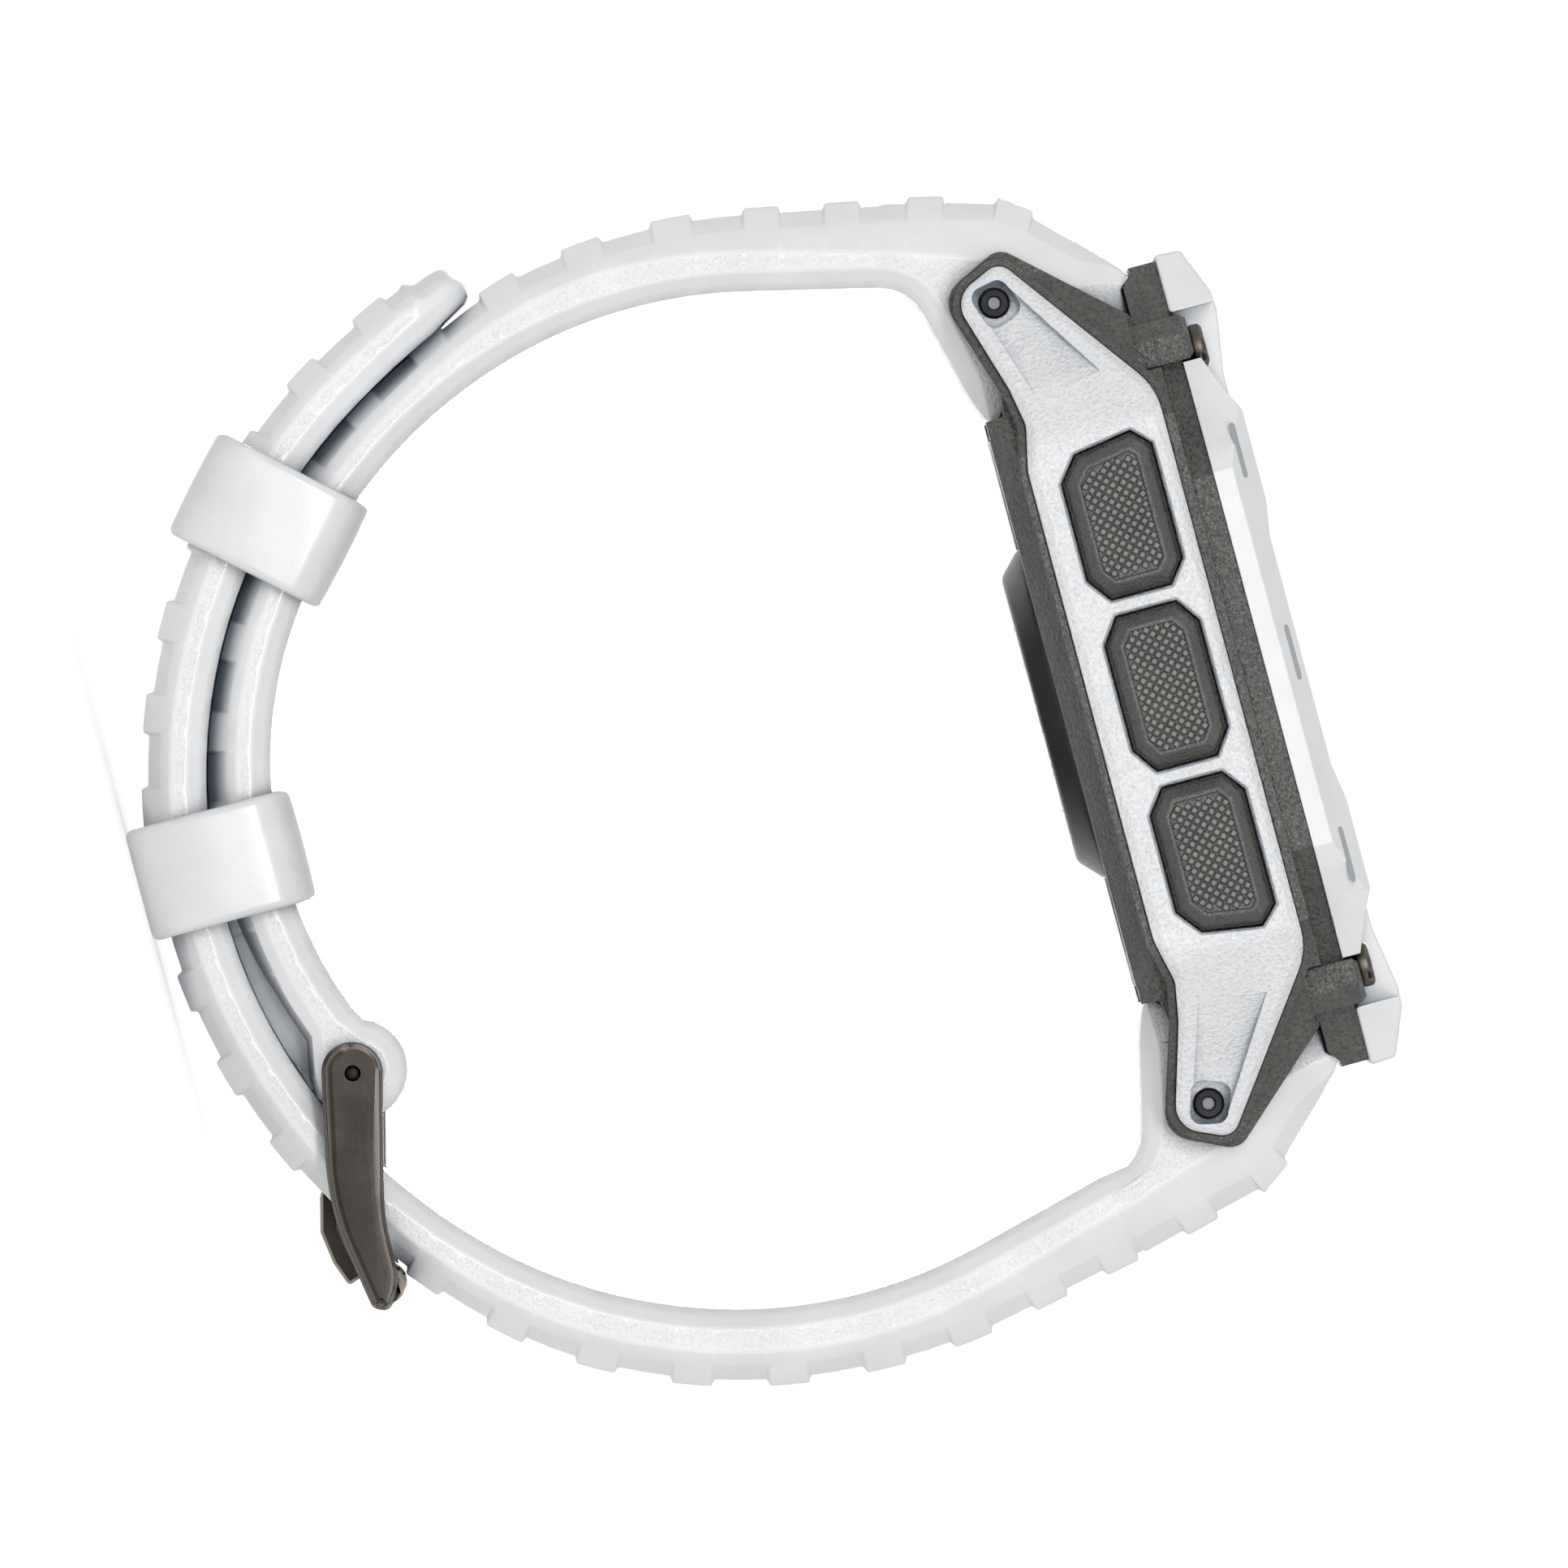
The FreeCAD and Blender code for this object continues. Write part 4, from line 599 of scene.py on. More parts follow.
def dotted_film(name, roughness, shades):
    """Display film of fine square dots, each with a darker border."""
    material, tree, shader = new_material(name, Roughness=roughness)
    dots = add(tree, "ShaderNodeTexVoronoi", {"distance": "CHEBYCHEV", "Randomness": 0.0,
                                              "Scale": DOTS}, {"Vector": millimetres(tree)})
    tree.links.new(tones(tree, dots.outputs["Distance"], (0.4, 0.5), *shades),
                   shader.inputs["Base Color"])
    return material


# To the eye: dull black rubber round a dark greenish grey panel with a fine mesh in it.
nitrile = grained_polymer("moulded_nitrile", ("#161618", "#1e1e21"), 0.6, 0.15, 0.01)
panel_face = dotted_film("reflective_display_film", 0.3, ("#26302f", "#1b2322"))
coat(nitrile, "lens_gasket")
coat(panel_face, "display_panel")

# Lit segments of the panel: the time of day and a ring of minute ticks. To the eye:
# pale grey-green, like paper seen through the dots.
PANEL_TOP = 14.5
SEGMENT_THICK = 0.04
SEGMENT_GAP = 0.12
DIGIT = (1.5, 1.55)   # half width, and length of an upright segment over two
DIGIT_LINE = 0.36     # half widths of the lines of a digit and of the colon's dots
COLON_LINE = 0.3
SEGMENTS = {"a": (-1, 2, 1, 2), "b": (1, 2, 1, 0), "c": (1, 0, 1, -2), "d": (-1, -2, 1, -2),
            "e": (-1, 0, -1, -2), "f": (-1, 2, -1, 0), "g": (-1, 0, 1, 0)}
DIGITS = {"1": "bc", "0": "abcdef", "9": "abcdfg"}
TIME = ((-8.1, "1"), (-3.6, "0"), (3.6, "0"), (8.1, "9"))
COLON = (0.45, 1.3)   # half length of a dot, and its distance from the middle line
TICK_R = 16.3
TICKS = {True: (1.3, 0.16), False: (0.7, 0.08)}   # every fifth minute, and the others


def segment(form, start, end, half):
    """Bar with pointed ends on the panel between two points."""
    ahead = (end - start).normalized()
    across = Vector((-ahead.y, ahead.x)) * half
    gap = ahead * SEGMENT_GAP
    outline = [start + gap, start + gap + ahead * half - across,
               end - gap - ahead * half - across, end - gap,
               end - gap - ahead * half + across, start + gap + ahead * half + across]
    stacked([[(p.x, p.y, PANEL_TOP + level) for p in outline]
             for level in (0.0, SEGMENT_THICK)], form)


form = bmesh.new()
for middle, figure in TIME:
    for key in DIGITS[figure]:
        x0, y0, x1, y1 = SEGMENTS[key]
        segment(form, Vector((middle + DIGIT[0] * x0, DIGIT[1] * y0)),
                Vector((middle + DIGIT[0] * x1, DIGIT[1] * y1)), DIGIT_LINE)
for y in (-COLON[1], COLON[1]):
    segment(form, Vector((-COLON[0], y)), Vector((COLON[0], y)), COLON_LINE)
for tick in range(60):
    spoke = Vector((math.sin(math.tau * tick / 60), math.cos(math.tau * tick / 60)))
    length, half = TICKS[tick % 5 == 0]
    segment(form, spoke * (TICK_R - length), spoke * TICK_R, half)
lit_segment = dotted_film("lit_display_segment", 0.4, ("#e4ebe6", "#a9b2ac"))
finished(made(form, "display_segments"), lit_segment, "display", "watch")


# ---------------------------------------------------------------- buttons
# Hard-coated polymer caps with a bevelled rim and a knurled pad, each on a stem
# with a clip, a rubber seal and a push switch behind it.
CAP_EDGE_X = 24.8     # everything above this belongs to the rim or the pad
CAP_TOP = 25.3
RIM_LOW = 24.55       # the sloping rim starts here and is this wide
RIM_WIDE = 0.74
PAD_X = 25.05         # sunk face of the pads
PAD_IN = 1.15         # knurls keep this far inside the cap outline
KNURL_PITCH = 0.64
KNURL_FIELD = range(-8, 9)   # rows and columns tried; those off the pad are left out
KNURL_FOOT = 0.32     # half size of a knurl at its foot, at its top, and its height
KNURL_TOP = 0.19
KNURL_HEIGHT = 0.24
KNURL_SUNK = 0.05     # its foot is this far inside the pad


def knurls(place, y, side):
    """Field of small staggered pyramids over the pad of one button."""
    field = inset(cap_outline(y), PAD_IN)
    edges = list(zip(field, field[1:] + field[:1]))
    form = bmesh.new()
    for row in KNURL_FIELD:
        for column in KNURL_FIELD:
            spot = Vector((y + (column + row % 2 / 2) * KNURL_PITCH,
                           BUTTON_Z + row * KNURL_PITCH / 2))
            sides = [(b - a).cross(spot - a) for a, b in edges]
            if min(sides) * max(sides) < 0:
                continue
            rings = []
            for half, level in ((KNURL_FOOT, -KNURL_SUNK), (KNURL_TOP, KNURL_HEIGHT)):
                rings.append([(side * (PAD_X + level), spot.x + half * c, spot.y + half * s)
                              for c, s in ((1, 0), (0, 1), (-1, 0), (0, -1))])
            stacked(rings, form)
    return made(form, "knurls_" + place)


def steeper_rim(piece, y):
    """Drops the outer edge of a cap, so that its rim slopes at about 45 degrees."""
    outline = cap_outline(y)
    for vertex in piece.data.vertices:
        x = abs(vertex.co.x) / MM
        if x < CAP_EDGE_X:
            continue
        spot = Vector(vertex.co.yz) / MM
        reach = RIM_WIDE
        for a, b in zip(outline, outline[1:] + outline[:1]):
            run = b - a
            share = min(1.0, max(0.0, (spot - a).dot(run) / run.length_squared))
            reach = min(reach, (spot - a - run * share).length)
        if reach < RIM_WIDE:
            x = RIM_LOW + (CAP_TOP - RIM_LOW) * reach / RIM_WIDE
            vertex.co.x = math.copysign(x * MM, vertex.co.x)
    piece.data.update()
    return piece


# To the eye: a dark satin cap with painted shade in its grain's valleys, knurls painted
# lighter than the cap as a painted highlight over their own sparkle, and behind it
# bright spring steel and a plain black switch.
button_coat = grained_polymer("hard_coated_polymer", ("#494845", "#52514e"), 0.36, 0.2, 0.05,
                              valley_shade="#3b3a38")
# The knurls take a lighter copy of the cap's polymer: a painted highlight.
pad_coat_painted_light = grained_polymer("knurled_polymer", ("#605f5c", "#6c6b67"), 0.4, 0.12, 0.008, 0.03)
spring_steel = metal("spring_steel", ("#8c8d90", "#9b9c9f"), 0.3, 0.06)
switch_body = grained_polymer("moulded_switch_body", ("#1b1c1e", "#232427"), 0.45, 0.2, 0.01)
for side in ("left", "right"):
    for y in BUTTON_YS[side]:
        place = side + ("_middle" if y == 0 else "_upper" if y > 0 else "_lower")
        steeper_rim(softened("button_" + place, 0.07, button_coat, "button_polymer"), y)
        finished(knurls(place, y, -1 if side == "left" else 1), pad_coat_painted_light, "button_polymer",
                 nodes["button_" + place]["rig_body"])
        coat(spring_steel, "clip_" + place)
        coat(nitrile, "seal_" + place)
        coat(switch_body, "switch_" + place)


# ---------------------------------------------------------------- lug pins
# Turned steel pins through the lug ears, blackened, with a drilled tip for a driver.
# To the eye: a satin black ring round a small bare grey centre.
BARE_R = 0.38
BARE_EDGE = 0.03


def two_tone(material, radius, colour):
    """Bare metal within a radius in mm of the pin's middle, seen from its end."""
    tree = material.node_tree
    shader = tree.nodes["Principled BSDF"]
    place = add(tree, "ShaderNodeSeparateXYZ", None, {0: millimetres(tree)})
    far = add(tree, "ShaderNodeMath", {"operation": "ABSOLUTE"}, {0: place.outputs["Y"]})
    spot = add(tree, "ShaderNodeCombineXYZ", None, {"Y": far.outputs[0],
                                                    "Z": place.outputs["Z"]})
    reach = add(tree, "ShaderNodeVectorMath", {"operation": "DISTANCE",
                                               1: (0.0,) + PIN_SPOT}, {0: spot.outputs[0]})
    black = shader.inputs["Base Color"].links[0].from_socket
    tone = tones(tree, reach.outputs["Value"], (radius - BARE_EDGE, radius + BARE_EDGE),
                 colour, black)
    tree.links.new(tone, shader.inputs["Base Color"])
    return material


pin_black = two_tone(metal("blackened_pin_steel", ("#1c1c1e", "#262628"), 0.42, 0.06),
                     BARE_R, "#55585c")
for end in ("upper", "lower"):
    softened("lug_pin_" + end, 0.08, pin_black, "pin_steel")


# ---------------------------------------------------------------- strap
# Two halves of soft white silicone, compression moulded: flat on the wrist side, a
# grained side wall, two slopes up to a ribbed outside, a solid root round each pin.

# Wrist side of each half in y and z: its start, its heading in degrees from 12 o'clock,
# its legs as (length, radius), and its thickness at distances along the way.
PATHS = {
    "upper": {"start": (26.82, 0.22), "heading": 166.56, "turn": 1,
              "legs": ((10.94, 0.0), (36.57, 29.44), (25.6, 25.02)),
              "thick": ((0.0, 5.0), (11.0, 4.6), (18.0, 4.3), (24.0, 4.1), (32.0, 3.3),
                        (60.0, 3.35))},
    "lower": {"start": (-26.73, -0.79), "heading": 194.36, "turn": -1,
              "legs": ((11.12, 0.0), (29.0, 30.08), (14.75, 33.68), (45.1, 31.74),
                       (7.3, 50.0)),
              "thick": ((0.0, 5.2), (11.0, 4.65), (20.0, 4.3), (36.0, 4.15), (44.0, 3.7),
                        (52.0, 3.5), (100.0, 3.5), (108.0, 3.3))}}
ROOT_HALF = 13.0      # half width at the case, and further on
BAND_HALF = 11.4
NARROWING = (2.0, 30.0)   # it narrows between these distances
RIDGE_WIDTH = 2.2
RIDGE_HEIGHT = 0.4
RIDGE_RISE = ((-0.16, 0.0), (-0.09, 0.08), (-0.03, 0.3), (0.03, 0.7), (0.09, 0.92),
              (0.16, 1.0))
CREST = 1.85          # width of the upper slope, up to the ribbed face
CREASE = 0.2          # share of the thickness that it falls
FOLD_LEAST = 0.3      # width of the lower slope: a least one, and a share of its fall
FOLD_SHARE = 0.75     # up to a most that counts
FOLD_MOST = 2.6
LOWER_SLOPE = ((-6.0, 2.9), (-3.0, 2.3), (2.0, 1.8), (9.0, 1.35), (19.0, 0.82), (36.0, 0.78),
               (52.0, 0.66))   # fall of the lower slope along the band
STATION = 1.2         # about how far apart cross sections are
BAND_FROM = 2.9       # where the band starts behind the fillet of the root
UNDER_TAIL = 29.5     # from here the upper half fills the room under the tail,
FILL_RUN = 1.5        # fully after this length, up to this gap
TAIL_AIR = 0.04
TAIL_PROBES = [0.25 * i for i in range(200, 430)]   # along the lower half
FILL_BACK = 0.6       # the filling's crest is this much wider, and its blocks' crest
BLOCK_OUT = 0.7       # narrower again
BLOCK_IN = 2.8        # a block that fills a gap stands this much further in
ROUND_FROM = 58.0     # the bevels of the upper half turn into a rounded edge from here
ROUND_RUN = 10.0
RIDGES = {"upper": [5.0 + 4.85 * i for i in range(14)],
          "lower": [4.3 + 4.75 * i for i in range(3)] + [18.55 + 5.1 * i for i in range(18)]}
HOLES = [36.4 + 5.1 * i for i in range(12)]
HOLE_SIZE = (4.2, 3.0, 1.2)    # along, across, corner
# Root of the upper half in y and z, from its tip: outside with how full its edge is,
# and wrist side back to the tip.
ROOT_OUT = ((24.35, 11.95, 0.05), (24.9, 11.6, 0.15), (25.6, 10.95, 0.3),
            (26.2, 10.39, 0.6), (26.79, 9.84, 0.9),
            (27.88, 8.68, 1.0), (28.98, 7.59, 1.0))
ROOT_RIDGE = ((29.15, 7.45), (30.62, 5.4))
ROOT_GROOVE = (30.6, 5.22)
FIRST_RIDGE = {1: 0.0, -1: -1.05}   # along the upper half, and the lower
ROOT_IN = ((24.5, -0.2, 1.0), (22.5, 0.26, 1.0), (20.2, 0.8, 0.9), (19.2, 1.12, 0.6),
           (18.4, 1.42, 0.35), (17.95, 1.7, 0.15), (17.85, 2.2, 0.12), (18.6, 2.9, 0.12),
           (20.8, 3.1, 0.12), (22.0, 5.5, 0.12), (22.0, 11.2, 0.12), (22.25, 11.4, 0.12),
           (23.6, 11.4, 0.08))
# Corners of the root's outside, each with its corner of the side wall.
ROOT_WALL = (((24.35, 11.95), (24.1, 11.75)), ((26.79, 9.84), (24.6, 8.6)),
             ((29.15, 7.45), (26.5, 5.9)), ((30.6, 5.25), (27.6, 3.9)))
FILLET = ((27.19, -1.83), (26.69, -1.17), (26.03, -0.68), (25.26, -0.38))
BOSS = (-9.65, -44.9)
BOSS_R = 3.0
BOSS_FROM = 70.9      # the band runs into the boss here
BOSS_STEPS = 24
FILL_LAST = 9         # the filling runs out round the boss over these steps
FILL_FADE = 3
TONGUE_SLOT = ((-14.4, -50.4), (-5.8, -50.4), (-5.8, -40.4), (-14.4, -40.4))
SLOT_HALF = 1.7
TAIL_THICK = 3.3      # and the fall of its lower slope
TAIL_SLOPE = 0.66
# Rounded end of the tail: ahead of the last station, wrist side, outside, half width.
TAIL_END = ((0.4, 0.05, 3.45, 11.3), (0.95, 0.13, 3.0, 11.05), (1.7, 0.2, 2.93, 10.6),
            (2.3, 0.25, 2.88, 10.0), (2.66, 0.3, 2.8, 9.5), (3.0, 0.5, 2.4, 8.8),
            (3.23, 0.85, 1.83, 8.2))


def stepped(table, distance):
    """Value of a table of (distance, value) pairs, straight between its entries."""
    for (d0, v0), (d1, v1) in zip(table, table[1:]):
        if distance <= d1:
            return v0 + (v1 - v0) * max(0.0, distance - d0) / (d1 - d0)
    return table[-1][1]


def along(path, distance):
    """Wrist side point, outward and forward directions at a distance along a half."""
    spot = Vector(path["start"])
    heading = math.radians(path["heading"])
    for i, (length, radius) in enumerate(path["legs"]):
        last = i == len(path["legs"]) - 1
        part = distance if last else min(length, distance)
        bend = path["turn"] * min(part, length) / radius if radius else 0.0
        chord = 2 * radius * math.sin(part / 2 / radius) if radius else part
        middle = heading + bend / 2
        spot = spot + chord * Vector((math.sin(middle), math.cos(middle)))
        heading += bend
        distance -= part
        if distance <= 0:
            break
    up = path["turn"] * Vector((-math.cos(heading), math.sin(heading)))
    return spot, up, Vector((math.sin(heading), math.cos(heading)))


def half_width(distance):
    """Half of the strap's width at a distance along a half."""
    return stepped(((NARROWING[0], ROOT_HALF), (NARROWING[1], BAND_HALF)), distance)


def outer_edge(thick, slope, rise=0.0, full=1.0, crest=CREST):
    """Inset and depth of the ribbed side's edge: two slopes down to the side wall."""
    crease = CREASE * thick + rise
    wall = crease + slope
    fold = FOLD_LEAST + FOLD_SHARE * min(slope, FOLD_MOST)
    crest += fold
    steps = ((crest, 0.0), (crest - 0.25, 0.06 * crease), (fold + 0.22, 0.93 * crease),
             (fold, crease + 0.04 * slope), (0.14, wall - 0.16), (0.04, wall + 0.02),
             (0.0, wall + 0.2))
    return [(across * full, deep * full) for across, deep in steps]


def inner_edge(full=1.0):
    """Inset and depth of the wrist side's edge: a fillet, a light band, the wall."""
    steps = ((1.4, 0.0), (1.2, 0.04), (0.72, 0.42), (0.64, 0.5), (0.14, 1.02), (0.04, 1.14),
             (0.0, 1.3))
    return [(across * full, deep * full) for across, deep in steps]


def blended(first, second, share):
    """Edge between two edges of equally many steps."""
    return [(a + (c - a) * share, b + (d - b) * share)
            for (a, b), (c, d) in zip(first, second)]


def rise_at(distance, centres):
    """Height of the ridges at a distance along the band."""
    best = 0.0
    for centre in centres:
        off = RIDGE_WIDTH / 2 - abs(distance - centre)
        best = max(best, RIDGE_HEIGHT * stepped(RIDGE_RISE, off))
    return best


def stations(start, end, centres):
    """Distances along the band: even steps, and closer ones at each ridge's sides."""
    marks = [start, end]
    for centre in centres:
        for side in (-1, 1):
            marks += [centre + side * (RIDGE_WIDTH / 2 - off) for off, share in RIDGE_RISE]
    marks = sorted(m for m in marks if start <= m <= end)
    filled = []
    for low, high in zip(marks, marks[1:]):
        count = max(1, round((high - low) / STATION))
        filled += [low + (high - low) * i / count for i in range(count)]
    return filled + [end]


def shell(form, loop, walls):
    """Closed band through a loop of edge stations, with its side walls filled in."""
    grid = []
    for spot, inward, half, edge in loop:
        grid.append({side: [form.verts.new((side * (half - across), *(spot + inward * deep)))
                            for across, deep in edge] for side in (-1, 1)})
    for here, after in zip(grid, grid[1:] + grid[:1]):
        form.faces.new((here[1][0], after[1][0], after[-1][0], here[-1][0]))
        for side in (-1, 1):
            for k in range(len(here[side]) - 1):
                form.faces.new((here[side][k], after[side][k], after[side][k + 1],
                                here[side][k + 1]))
    for wall in walls:
        for side in (-1, 1):
            form.faces.new([grid[i][side][-1] for i in wall])
    long_walls = [face for face in form.faces if len(face.verts) > 4]
    bmesh.ops.triangulate(form, faces=long_walls)
    return form


def outline_normals(points):
    """Inward normals of a closed outline that runs with its inside on one side."""
    area = sum(a.x * b.y - b.x * a.y for a, b in zip(points, points[1:] + points[:1]))
    normals = []
    for i, here in enumerate(points):
        run = (here - points[i - 1]).normalized() + \
            (points[(i + 1) % len(points)] - here).normalized()
        run.normalize()
        normals.append(Vector((-run.y, run.x)) * math.copysign(1.0, area))
    return normals


def room_under_tail(spot):
    """Room in millimetres between a point and the wrist side of the tail."""
    tail = (along(PATHS["lower"], distance)[0] for distance in TAIL_PROBES)
    return max(0.0, min((p - spot).length for p in tail) - TAIL_AIR)


def rounded_edge(rise):
    """Edge like the wrist side's, below a block further in that fills a rise."""
    back = BLOCK_IN * min(1.0, rise / RIDGE_HEIGHT)
    steps = inner_edge()
    return [(steps[0][0] + back, 0.0), (steps[1][0] + back, steps[1][1] + 0.95 * rise)] + \
        [(across, deep + rise) for across, deep in steps[2:]]


def band_rows(path, marks, centres):
    """Matching outer and inner stations of the band."""
    outer = []
    inner = []
    for d in marks:
        spot, up = along(path, d)[:2]
        thick = stepped(path["thick"], d)
        rise = rise_at(d, centres)
        crest = CREST
        if path is PATHS["upper"] and d > UNDER_TAIL:
            room = room_under_tail(spot + up * thick)
            crest += FILL_BACK - BLOCK_OUT * rise / RIDGE_HEIGHT
            rise = min(room, rise + room * (d - UNDER_TAIL) / FILL_RUN)
        edge = outer_edge(thick, stepped(LOWER_SLOPE, d), rise, crest=crest)
        if path is PATHS["upper"]:
            share = min(1.0, max(0.0, (d - ROUND_FROM) / ROUND_RUN))
            edge = blended(edge, rounded_edge(rise), share)
        outer.append((spot + up * (thick + rise), -up, half_width(d), edge))
        inner.append((spot, up, half_width(d), inner_edge()))
    return outer, inner


def partner(spot, corners):
    """Point on the edge of the side wall that belongs to a point on the outside."""
    best = None
    for (a, wall_a), (b, wall_b) in zip(corners, corners[1:]):
        run = b - a
        share = min(1.0, max(0.0, (spot - a).dot(run) / run.length_squared))
        off = (spot - a - run * share).length
        if best is None or off < best[0]:
            best = (off, wall_a.lerp(wall_b, share))
    return best[1]


def root_rows(path, mirror):
    """Stations round the root: outside from the tip to the band, then the wrist side."""
    flip = Vector((mirror, 1.0))
    thick = path["thick"][0][1]
    outside = [(Vector(p[:2]) * flip, 0.0, p[2]) for p in ROOT_OUT]
    start, end = (Vector(p) * flip for p in ROOT_RIDGE)
    for share, level in ((0.0, 0.0), (0.03, 0.3), (0.06, 0.92), (0.1, 1.0), (0.9, 1.0),
                         (0.94, 0.92), (0.97, 0.3), (1.0, 0.0)):
        outside.append((start + (end - start) * share, RIDGE_HEIGHT * level, 1.0))
    outside.append((Vector(ROOT_GROOVE) * flip, 0.0, 1.0))
    first = FIRST_RIDGE[mirror]
    for d in stations(first - RIDGE_WIDTH / 2 + RIDGE_RISE[0][0], BAND_FROM - 0.3, [first]):
        spot, up = along(path, d)[:2]
        outside.append((spot + up * thick, rise_at(d, [first]), 1.0))
    inside = [(Vector(p) * flip, 1.0) for p in FILLET]
    inside += [(Vector(p[:2]) * flip, p[2]) for p in ROOT_IN]
    spots = [p[0] for p in outside] + [along(path, BAND_FROM)[0]] + [p[0] for p in inside]
    normals = outline_normals(spots)
    base, up = along(path, BAND_FROM)[:2]
    wall = CREASE * thick + stepped(LOWER_SLOPE, BAND_FROM)
    corners = [(Vector(a) * flip, Vector(b) * flip) for a, b in ROOT_WALL]
    corners.append((base + up * thick, base + up * (thick - wall)))
    rows_out = []
    for spot, rise, full in outside:
        inward = partner(spot, corners) - spot
        slope = inward.length / full - CREASE * thick
        inward.normalize()
        rows_out.append((spot - inward * rise, inward, ROOT_HALF,
                         outer_edge(thick, slope, rise, full)))
    rows_in = [(spot, normal, ROOT_HALF, inner_edge(full))
               for (spot, full), normal in zip(inside, normals[len(outside) + 1:])]
    return rows_out, rows_in


def holes(path):
    """Oblong holes with rounded corners, straight through the band."""
    length, width, corner = HOLE_SIZE
    shape = oblong(length / 2, width / 2, corner)
    form = bmesh.new()
    for distance in HOLES:
        spot, up, ahead = along(path, distance)
        stacked([[(p.y, *(spot + ahead * p.x + up * level)) for p in shape]
                 for level in (-1, 6)], form)
    return made(form, "holes")


def strap_half(end):
    """One half of the strap: root, band, and the buckle's boss or the holed tail."""
    path = PATHS[end]
    centres = RIDGES[end]
    length = sum(leg[0] for leg in path["legs"])
    marks = stations(BAND_FROM, length if end == "lower" else BOSS_FROM, centres)
    outer, inner = band_rows(path, marks, centres)
    root_out, root_in = root_rows(path, path["turn"])
    tip = []
    if end == "upper":
        middle = Vector(BOSS)
        first = outer[-1][0] - middle
        last = inner[-1][0] - middle
        sweep = first.angle_signed(last) % math.tau
        for i in range(1, BOSS_STEPS):
            spoke = (Matrix.Rotation(-sweep * i / BOSS_STEPS, 2) @ first).normalized()
            fade = max(0.0, min(1.0, (FILL_LAST - i) / FILL_FADE))
            fill = room_under_tail(middle + spoke * BOSS_R) * fade
            tip.append((middle + spoke * (BOSS_R + fill), -spoke, BAND_HALF, rounded_edge(fill)))
    else:
        spot, up, ahead = along(path, length)
        for forward, low, high, half in TAIL_END:
            full = min(1.0, (high - low) / TAIL_THICK)
            outer.append((spot + ahead * forward + up * high, -up, half,
                          outer_edge(TAIL_THICK, TAIL_SLOPE, 0.0, full)))
            inner.append((spot + ahead * forward + up * low, up, half, inner_edge(full)))
    loop = root_out + outer + tip + inner[::-1] + root_in
    outer_at = len(root_out)
    inner_at = outer_at + 2 * len(outer) + len(tip) - 1
    walls = [(outer_at + i, outer_at + i + 1, inner_at - i - 1, inner_at - i)
             for i in range(len(outer) - 1)]
    walls.append(list(range(outer_at + 1)) + list(range(inner_at, len(loop))))
    if tip:
        boss_at = outer_at + len(outer)
        walls.append(list(range(boss_at - 1, boss_at + len(tip) + 1)))
    form = shell(bmesh.new(), loop, walls)
    piece = made(form, "strap_%s_form" % end)
    if end == "lower":
        return carved(piece, [holes(path)])
    slot = [Vector((y, z)) for y, z in TONGUE_SLOT]
    return carved(piece, [side_prism(slot, -SLOT_HALF, SLOT_HALF, "tongue_slot")],
                  tangled=True)


def facing_sideways(tree):
    """1 where a face looks straight across the watch, 0 where it looks along it."""
    place = add(tree, "ShaderNodeTexCoord")
    parts = add(tree, "ShaderNodeSeparateXYZ", None, {0: place.outputs["Normal"]})
    return add(tree, "ShaderNodeMath", {"operation": "ABSOLUTE"},
               {0: parts.outputs["X"]}).outputs[0]


# To the eye: soft, faintly waxy white with painted blue-grey shade in the gaps. The side
# wall has a fine spark-eroded grain; the slopes and the ribbed face are smooth.
WALL_GRAIN = (0.22, 0.1)   # size and depth
silicone, tree, shader = new_material("moulded_silicone", IOR=1.43,
                                      Specular_IOR_Level=0.5)
silicone_white = clouded(tree, 4.0, 3.0, (0.35, 0.65), ("#efefef", "#f5f5f5"))
# Painted shade: blue-grey where walls close in, darkest in the gaps between the layers.
tree.links.new(shaded_corners(tree, silicone_white, "#66727f", 2.0),
               shader.inputs["Base Color"])
across = facing_sideways(tree)
on_wall = add(tree, "ShaderNodeMapRange", {"From Min": 0.994, "From Max": 0.999,
                                           "To Min": 0.1, "To Max": 1.0},
              {"Value": across})
# The fold at the wall's edge is buffed where the mould halves part, so it shines.
fold = add(tree, "ShaderNodeMapRange", {"From Min": 0.9, "From Max": 0.96},
           {"Value": across})
buffed = add(tree, "ShaderNodeMath", {"operation": "SUBTRACT", "use_clamp": True},
             {0: fold.outputs["Result"], 1: on_wall.outputs["Result"]})
shine = add(tree, "ShaderNodeMapRange", {"To Min": 0.36, "To Max": 0.1},
            {"Value": buffed.outputs[0]})
tree.links.new(shine.outputs["Result"], shader.inputs["Roughness"])
wall_bump = add(tree, "ShaderNodeBump", {"Distance": WALL_GRAIN[1] * MM},
                {"Height": grain_height(tree, WALL_GRAIN[0]),
                 "Strength": on_wall.outputs["Result"]})
tree.links.new(wall_bump.outputs["Normal"], shader.inputs["Normal"])
for end in ("upper", "lower"):
    finished(strap_half(end), silicone, "strap_silicone", "watch", "strap_" + end)


